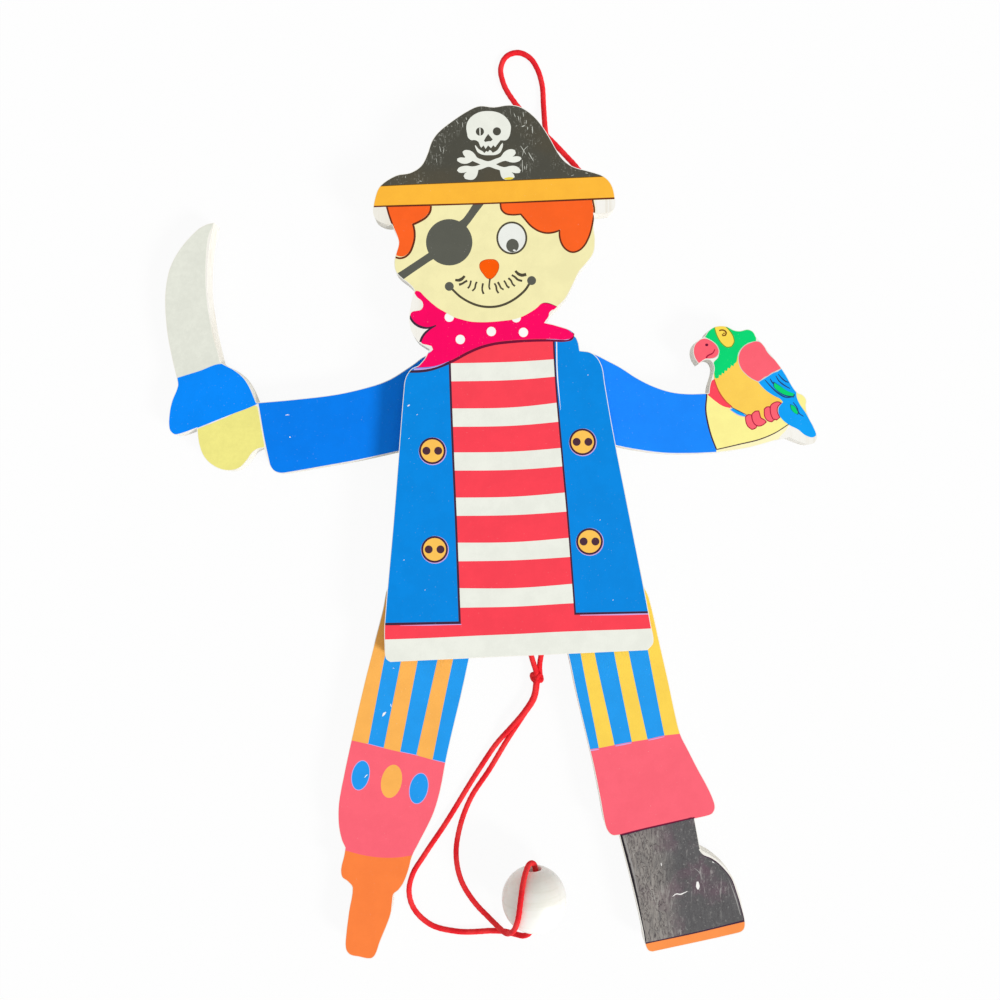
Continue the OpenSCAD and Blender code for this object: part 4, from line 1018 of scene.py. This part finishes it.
claws = [[(745.4, 416.8), (745.9, 422), (748, 426.6), (751.9, 429.5), (755.8, 428), (757.3, 425.6),
    (755, 424.2), (752.2, 419.6), (751.4, 415), (748.2, 414.6)], [(751.8, 414.3), (755.2, 411.2),
    (758.8, 411), (759.7, 414.2), (761, 418), (764.8, 420), (766.3, 422), (763, 424.9), (758.4, 426.2),
    (754.5, 424), (752.2, 419.4)], [(764.2, 409.2), (766.2, 407.1), (769.5, 406.7), (770.4, 409),
    (771.4, 415.5), (774.8, 419.4), (771.6, 421.9), (767.5, 420.7), (764.8, 416.8)],
    [(770.8, 405.2), (774, 402.7), (779.2, 402), (781.2, 403.2), (778, 406.4), (777.3, 411.6), (779.8, 417.4),
    (776.6, 420), (772.8, 418.8), (770.8, 414.2), (770.2, 409)]]
feathers = [([(778.1, 373.9), (781.4, 377.9), (785.7, 381.4), (788.6, 382.4)], (0.5, 0.9, 0.5)),
    ([(775.7, 375.7), (779.3, 381.4), (785, 385.7), (790, 388.6)], (0.5, 0.9, 0.5)),
    ([(765, 380), (770.7, 386.4), (777.9, 392.9), (786.4, 397.4), (793.6, 396.6)], (0.5, 1, 0.6)),
    ([(770, 378.6), (772.4, 382.6), (775.4, 385.4)], (0.5, 0.9, 0.5)),
    ([(793, 402.4), (796.4, 406.6), (799.3, 413.6), (803.6, 416.4)], (0.5, 0.8, 0.5))]
green_feather = [(774.3, 382.7), (779.3, 385.7), (787.9, 391.2), (794.3, 393.6), (792.9, 396.2), (785, 394.8),
    (777.9, 390.7), (774, 386.6)]
tail_feather = [(790.6, 404.8), (793.8, 405.9), (797.9, 412.1), (797.3, 414.3), (794.5, 412.9),
    (791.2, 408.8)]
parrot_sleeve = [(560, 330), (706.9, 380)] + cuff + [(716, 470), (560, 470)]
hand_edge = [(716.4, 449), (716.6, 449.4)] + palm[1:] + [(800, 440), (716, 465)]
parrot_hand = cuff[:-2] + palm + [(796, 410), (806, 412), (815, 400), (806, 388), (780, 385), (730, 370)]
hand_lines = [(cuff[:-1], (1.2, 1.6, 1.3)), (palm, (1, 1.2, 0.9))]
breast_glint = [(729.4, 409.6), (732.7, 407.2), (739.5, 410.6), (747, 414.6), (746.3, 417.4), (739.1, 415.7)]
breast_blue = [(730.4, 409.9), (732.9, 408.1), (739.3, 411.4), (746.2, 415), (745.7, 416.7), (739.3, 415)]
belly = [(714.3, 379.3), (716.4, 386.4), (720.7, 395), (726.4, 402.1), (732.1, 407.4), (739.3, 411.4),
    (746.4, 415.4), (758, 420), (768, 417), (783, 405), (783, 398), (770, 380), (745, 358), (730, 355),
    (714.3, 370)]
shoulder_edge = spread_out(shoulder, (760, 360), 0.03, 0.03)
beak_edge = moved(beak, 0.9, 0.2)
beak_mouth = ([(715, 349.3), (712.9, 352.9), (707.1, 356.4), (706.1, 358.3)], (0.9, 1.3, 1.6))
nostril = ring(706.7, 344.9, 1.6, 1.4, 0, 12)
parrot_eye_lines = ([(719.1, 330.6), (722, 330), (724.9, 330.8), (726.3, 333), (725.3, 335.4), (722.9, 335.7),
    (722.3, 334)], (1.3, 1.6, 1.3))
parrot_pupil = ring(723.9, 333.4, 0.8, 0.8, 0, 10)
wing_share = 0.03
wing_left = 0.3
wing_up = 0.2
wing_middle_x = 780
wing_edge = [(x + (x - wing_middle_x) * wing_share - wing_left, y - wing_up) for x, y in wing]
belly_crease = ([(731, 407), (739, 411.2), (746.6, 414.8)], (0.7, 1, 0.6))
breast_edge = ([(714.4, 379.4), (716.6, 386.4), (720.9, 395), (726.6, 402.1), (732.1, 406.8)],
    (0.7, 1.3, 0.8))
feather_edges = [spread_out(green_feather, (784, 389), 0.08, 0.2), spread_out(tail_feather, (794, 410), 0.2,
    0.12)]
under_tail = [(788.8, 425.4), (797.9, 430), (806.4, 436.6), (820, 440), (820, 460), (780, 460), (779, 438),
    (786, 430)]
print_board("parrot_arm", "parrot_arm", [
    fill("parrot_sleeve_print", "sleeve_light", parrot_sleeve),
    fill("parrot_hand_edge_print", "hand_pale", hand_edge),
    fill("parrot_hand_print", "pale_yellow", parrot_hand),
    pens("parrot_hand_line", "line_dark", *hand_lines),
    fill("breast_print", "parrot_red", breast),
    fill("breast_halo", "lilac", breast_glint),
    fill("breast_blue_print", "parrot_blue", breast_blue),
    fill("belly_print", "parrot_amber", belly),
    fill("parrot_pale_edges", "pale_grey", shoulder_edge),
    fill("parrot_head_print", "parrot_green", head),
    fill("beak_halo", "pale_grey", beak_edge),
    fill("beak_print", "parrot_pink", beak),
    pens("beak_line", "red_line", beak_mouth),
    drawn("beak_line", "maroon_line", nostril),
    outlined("parrot_eye_print", "eye_amber", "parrot_eye_rim", "eye_rim", parrot_eye, 0.7, 0.2),
    pens("parrot_eye_line", "brown_line", parrot_eye_lines),
    drawn("parrot_eye_line", "brown_line", parrot_pupil),
    fill("shoulder_print", "parrot_pink", shoulder),
    fill("wing_halo", "pale_grey", wing_edge),
    fill("wing_print", "parrot_blue", wing),
    pens("feather_line", "feather_dark", *feathers, wide=1.6),
    pens("belly_line", "feather_dark", belly_crease),
    pens("breast_line", "breast_line", breast_edge),
    fill("feather_line", "feather_dark", *feather_edges),
    fill("green_feather_print", "parrot_green", green_feather, tail_feather),
    *[outlined("claw_print", "parrot_pink", "claw_line", "red_line", claw) for claw in claws],
    fill(None, None, under_tail)])

# Peg leg
peg_top = [383.8, 400.8, 417.5, 437, 452.5, 468.3]
peg_low = [367, 383.3, 400.5, 417.5, 433.3, 445.5]
peg_cuff_top = [(325, 733.5), (352.4, 740.5), (367, 743.8), (383.3, 748), (400.5, 752), (417.5, 755.6),
    (433.3, 760), (445.5, 763), (470, 769)]


def leaning(tops, lows, top_y, low_y, left, right, above=1.2, below=0.3):
    """A stripe between two slanted lines, carried on past both ends."""
    rise = low_y - top_y
    a, b, c, d = tops[left], tops[right], lows[left], lows[right]
    return [(a + (a - c) * above, top_y - rise * above), (b + (b - d) * above, top_y - rise * above),
        (d - (b - d) * below, low_y + rise * below), (c - (a - c) * below, low_y + rise * below)]


oval_in = 0.7
oval_line_in = 0.1
ovals = [(360.6, 775.3, 9.2, 15.4, 12, "stripe_blue"), (391.5, 781.3, 11, 17.6, 12, "peg_amber"),
    (418.8, 788.4, 9.6, 16, 12, "stripe_blue")]
peg_blues = [leaning(peg_top, peg_low, 662, 750, 0, 1), leaning(peg_top, peg_low, 662, 750, 2, 3),
    [(478.6, 552), (540, 560), (490, 790), (426.5, 790), (452.5, 662)]]
peg_trousers = [(300, 520), (520, 520), (480, 780), (330, 760)]
peg_stripe_ends = [([(366.5, 743.7), (383.8, 748.1)], (1, 1, 1)), ([(400.2, 751.9), (418, 755.7)], (1, 1, 1)),
    ([(433, 759.9), (450, 764.1)], (1, 1, 1))]
peg_cuff = peg_cuff_top + [(460, 856), (412.5, 855.5), (397.5, 857.5), (380, 857.5), (362.5, 855),
    (343.8, 850), (320, 844)]
peg = [(320, 843.9), (343.8, 849.9), (362.5, 854.9), (380, 857.4), (397.5, 857.4), (412.5, 855.4),
    (460, 852.3), (430, 980), (320, 980)]


def oval(n, x, y, rx, ry, turn, ink):
    """An oval on the cuff, with a pale line round the blue ones."""
    edge = [ring(x, y, rx - oval_line_in, ry - oval_line_in, turn)] if ink == "stripe_blue" else []
    face = ring(x, y, rx - oval_in, ry - oval_in, turn)
    return drawn("peg_ovals_line", "lilac", *edge) + drawn("peg_oval_%d_print" % (n + 1), ink, face)


peg_chips = [([(382.4, 716.4), (384, 713.8), (386, 712)], (0.5, 2.4, 0.6)),
    ([(390.6, 704), (391.4, 707)], (0.5, 0.7, 0.3)), ([(364.6, 777.6), (366.4, 775.4), (367.8, 774.6)],
    (0.4, 1, 0.4)), ([(393, 668), (394.4, 668.4)], (0.5, 0.7, 0.3))]
print_board("peg_leg", "peg_leg", [
    fill("peg_stripes_amber_print", "peg_amber", peg_trousers),
    fill("peg_stripes_blue_print", "stripe_blue", *peg_blues),
    pens("peg_stripes_line", "lilac", *peg_stripe_ends),
    fill("peg_cuff_print", "cuff_pink", peg_cuff),
    fill("peg_print", "peg_orange", peg),
    *[oval(n, *facts) for n, facts in enumerate(ovals)],
    pens("peg_chips", "bare_white", *peg_chips)])

# Boot leg
boot_cuff_top = [(560, 755), (590, 749.3), (598.8, 748), (614.5, 745), (631.8, 741.8), (647.5, 739.3),
    (664.5, 735.5), (678.8, 733.8), (720, 726)]
boot_trousers = [(540, 520), (680, 520), (700, 760), (560, 780)]
boot_blues = [[(520, 540), (562, 540), (580.8, 655), (598.8, 748), (602, 765), (560, 780)],
    [(576, 540), (594, 540), (614.5, 655), (631.8, 741.8), (635, 758), (617.5, 760), (614.5, 745),
    (595, 655)], [(609, 540), (627, 540), (648.8, 655), (664.5, 735.5), (668, 752), (651, 755),
    (647.5, 739.3), (629.3, 655)]]
boot_cuff = boot_cuff_top + [(740, 805), (730, 822), (700, 823), (694.6, 819), (692, 817.8), (687, 818.8),
    (670, 822.6), (640, 829.6), (620.6, 834.6), (580, 845)]
boot_stripe_ends = [([(587, 751), (598.8, 749.2)], (1, 1.2, 0.8)), ([(615.4, 746), (631.6, 742.8)],
    (0.8, 1.2, 0.8)), ([(648.4, 740.2), (664.4, 736.6)], (0.6, 1, 0.6))]
boot_back_fill = [(580, 844), (620.6, 834.2), (640, 829.2), (670, 822.2), (687, 818.4), (692, 817.3),
    (695, 818.4), (700, 824), (720, 838), (760, 845), (770, 925), (645, 955), (600, 950)]
boot = [(617, 836.6), (622.6, 835.6), (640, 831), (670, 824), (687, 820), (693, 818.8), (698, 824),
    (704, 838), (699.8, 850), (702.8, 855.2), (711, 859.2), (717, 863.2), (724, 870.2), (730.4, 878.6),
    (736, 893), (741, 910), (743.6, 920), (720, 926), (695, 932), (646.4, 942.4), (645, 940), (633, 882)]
# A near-black line along the boot's left edge: painted shade where the board's edge lies in shade
boot_heel_shade_line = ([(620.8, 834.5), (633.4, 882), (645.6, 941)], (2.6, 2.2, 1.4))
boot_ridges = [([(624.6, 838), (634, 874), (641, 906)], (1.4, 1.2, 0.2)),
    ([(728.5, 879), (735, 896), (740.6, 915)], (0.2, 1.2, 0.8)), ([(694, 868), (699, 872), (702, 879)],
    (0.3, 0.9, 0.3))]
boot_cuff_line = ([(621, 834.6), (640, 829.7), (670, 822.9), (694.6, 817.4)], (1.2, 1.2, 1))
instep_gap = [(698.8, 849.6), (702.6, 854.3), (711.4, 858.3), (717.4, 862.3), (724.6, 869.4), (731.2, 878),
    (736.9, 893), (742, 910), (744.6, 920), (760, 918), (760, 840), (720, 835)]
sole = [(600, 954.4), (646, 943.8), (695, 933.4), (744, 921.8), (770, 916), (770, 960), (630, 975)]
boot_chips = [([(697.5, 881.6), (697.8, 885.4), (698, 889.4)], (1.8, 3.9, 1.4)),
    ([(672.6, 896.4), (676.6, 893.8), (680.6, 894.3), (683.6, 893), (687.4, 891.3)], (0.6, 1.2, 0.5)),
    ([(661, 863), (661.6, 866)], (0.6, 0.9, 0.4)), ([(712, 861.6), (714.4, 863)], (0.5, 0.8, 0.3))]
print_board("boot_leg", "boot_leg", [
    fill("boot_stripes_amber_print", "boot_amber", boot_trousers),
    fill("boot_stripes_blue_print", "stripe_blue", *boot_blues),
    fill("boot_cuff_print", "cuff_pink", boot_cuff),
    pens("boot_stripes_line", "lilac", *boot_stripe_ends),
    fill("boot_line", "line_dark", boot_back_fill),
    fill("boot_print", "boot_black", boot),
    # The near-black line along the boot's left edge is painted shade
    pens("boot_heel_shade_and_cuff_line", "boot_heel_painted_shade", boot_heel_shade_line),
    pens("boot_ridge_print", "boot_ridge", *boot_ridges),
    pens("boot_heel_shade_and_cuff_line", "maroon_line", boot_cuff_line),
    fill(None, None, instep_gap),
    fill("sole_print", "sole_orange", sole),
    pens("boot_chips", "bare_white", *boot_chips)])

# Boards: the CAD solids with a small round along their edges
board_round = 0.17
fastener_round = 0.12
round_segments = 2
round_from = math.radians(50)
finishes = (("spacer", spacer_finish), ("washer", steel_finish), ("screw", steel_finish),
    ("staple", steel_finish), ("cord", cord_finish), ("knot", cord_finish), ("hitch", cord_finish),
    ("ball", ball_finish))


def dress_node(obj, finish, wide=0.0):
    """Gives a CAD solid its material, and rounds its sharp edges where a width is given."""
    obj.data.materials.clear()
    obj.data.materials.append(finish)
    if wide:
        bevel = obj.modifiers.new("rounded", "BEVEL")
        bevel.width = wide * mm
        bevel.segments = round_segments
        bevel.limit_method = "ANGLE"
        bevel.angle_limit = round_from


for node in front_z:
    dress_node(nodes[node], wood_finish, board_round)
for node, obj in nodes.items():
    for word, finish in finishes:
        if word in node:
            dress_node(obj, finish, fastener_round if word in ("spacer", "washer", "screw") else 0.0)

# Ball: turned about its bore, with rounded mouths
ball = Vector((7.22, -112.34, 10))
ball_r = 10
bore_r = 2.5
mouth_round = 0.9
mouth = [(0, 8.7), (0.05, 9.05), (0.22, 9.33), (0.5, 9.47)]
arc_steps = 60
ball_sides = 96
arc_start = math.atan2(bore_r + mouth_round, math.sqrt(ball_r ** 2 - (bore_r + mouth_round) ** 2))
turns = [arc_start + (math.pi - 2 * arc_start) * k / arc_steps for k in range(arc_steps + 1)]
profile = [(bore_r + out, far) for out, far in mouth]
profile += [(ball_r * math.sin(t), ball_r * math.cos(t)) for t in turns]
profile += [(bore_r + out, -far) for out, far in mouth[::-1]]
steps = [k * math.tau / ball_sides for k in range(ball_sides)]
ball_verts = [ball + Vector((r * math.cos(t), y, r * math.sin(t))) for r, y in profile for t in steps]
ball_faces = []
for i in range(len(profile)):
    a, b = i * ball_sides, (i + 1) % len(profile) * ball_sides
    for k in range(ball_sides):
        beside = (k + 1) % ball_sides
        ball_faces.append((a + k, b + k, b + beside, a + beside))
finish_piece(mesh_object("pull_ball_turned", ball_verts, ball_faces), "pull_cord", ball_finish,
    ("pull_ball",))

# Floor and light
floor_half = 3000
floor_drop = 0.05
floor_grey = (0.86, 0.86, 0.86, 1)
floor_rough = 0.9
floor_glow_share = 0.93
white_light = (1, 1, 1, 1)
sky_strength = 0.58
key_strength = 2.15
key_spread = math.radians(16)
key_side = math.radians(-38)
key_height = math.radians(38)

floor = mesh_object("floor", [(-floor_half, -floor_half, 0), (floor_half, -floor_half, 0),
    (floor_half, floor_half, 0), (-floor_half, floor_half, 0)], [(0, 1, 2, 3)], smooth=False)
floor.location.z = -floor_drop * mm
paper = Paint("paper")
paper.base.inputs["Base Color"].default_value = floor_grey
paper.base.inputs["Roughness"].default_value = floor_rough
glow = paper.add("ShaderNodeEmission", {"Color": white_light, "Strength": 1})
rays = paper.tree.nodes.new("ShaderNodeLightPath").outputs
mirrored = paper.maths("MAXIMUM", rays["Is Glossy Ray"], rays["Is Transmission Ray"])
seen = paper.maths("MAXIMUM", rays["Is Camera Ray"], mirrored)
share = paper.maths("MULTIPLY", seen, floor_glow_share)
blend = paper.add("ShaderNodeMixShader", {0: share, 1: paper.base.outputs[0], 2: glow})
paper.tree.links.new(blend, paper.tree.nodes["Material Output"].inputs["Surface"])
floor.data.materials.append(paper.material)

world = bpy.data.worlds.new("world")
bpy.context.scene.world = world
world.use_nodes = True
sky = world.node_tree
sky_mix = sky.nodes.new("ShaderNodeMixShader")
sky.links.new(sky.nodes.new("ShaderNodeLightPath").outputs["Is Camera Ray"], sky_mix.inputs[0])
backgrounds = ((sky.nodes["Background"], sky_strength), (sky.nodes.new("ShaderNodeBackground"), 1))
for slot, (background, strength) in enumerate(backgrounds):
    background.inputs["Color"].default_value = white_light
    background.inputs["Strength"].default_value = strength
    sky.links.new(background.outputs[0], sky_mix.inputs[slot + 1])
sky.links.new(sky_mix.outputs[0], sky.nodes["World Output"].inputs["Surface"])

key = bpy.data.lights.new("key", "SUN")
key.energy = key_strength
key.angle = key_spread
key_lamp = bpy.data.objects.new("key", key)
key_way = Vector((math.cos(key_side), math.sin(key_side), math.tan(key_height)))
key_lamp.rotation_euler = key_way.to_track_quat("Z", "Y").to_euler()
bpy.context.collection.objects.link(key_lamp)
bpy.context.scene.view_settings.view_transform = "Standard"
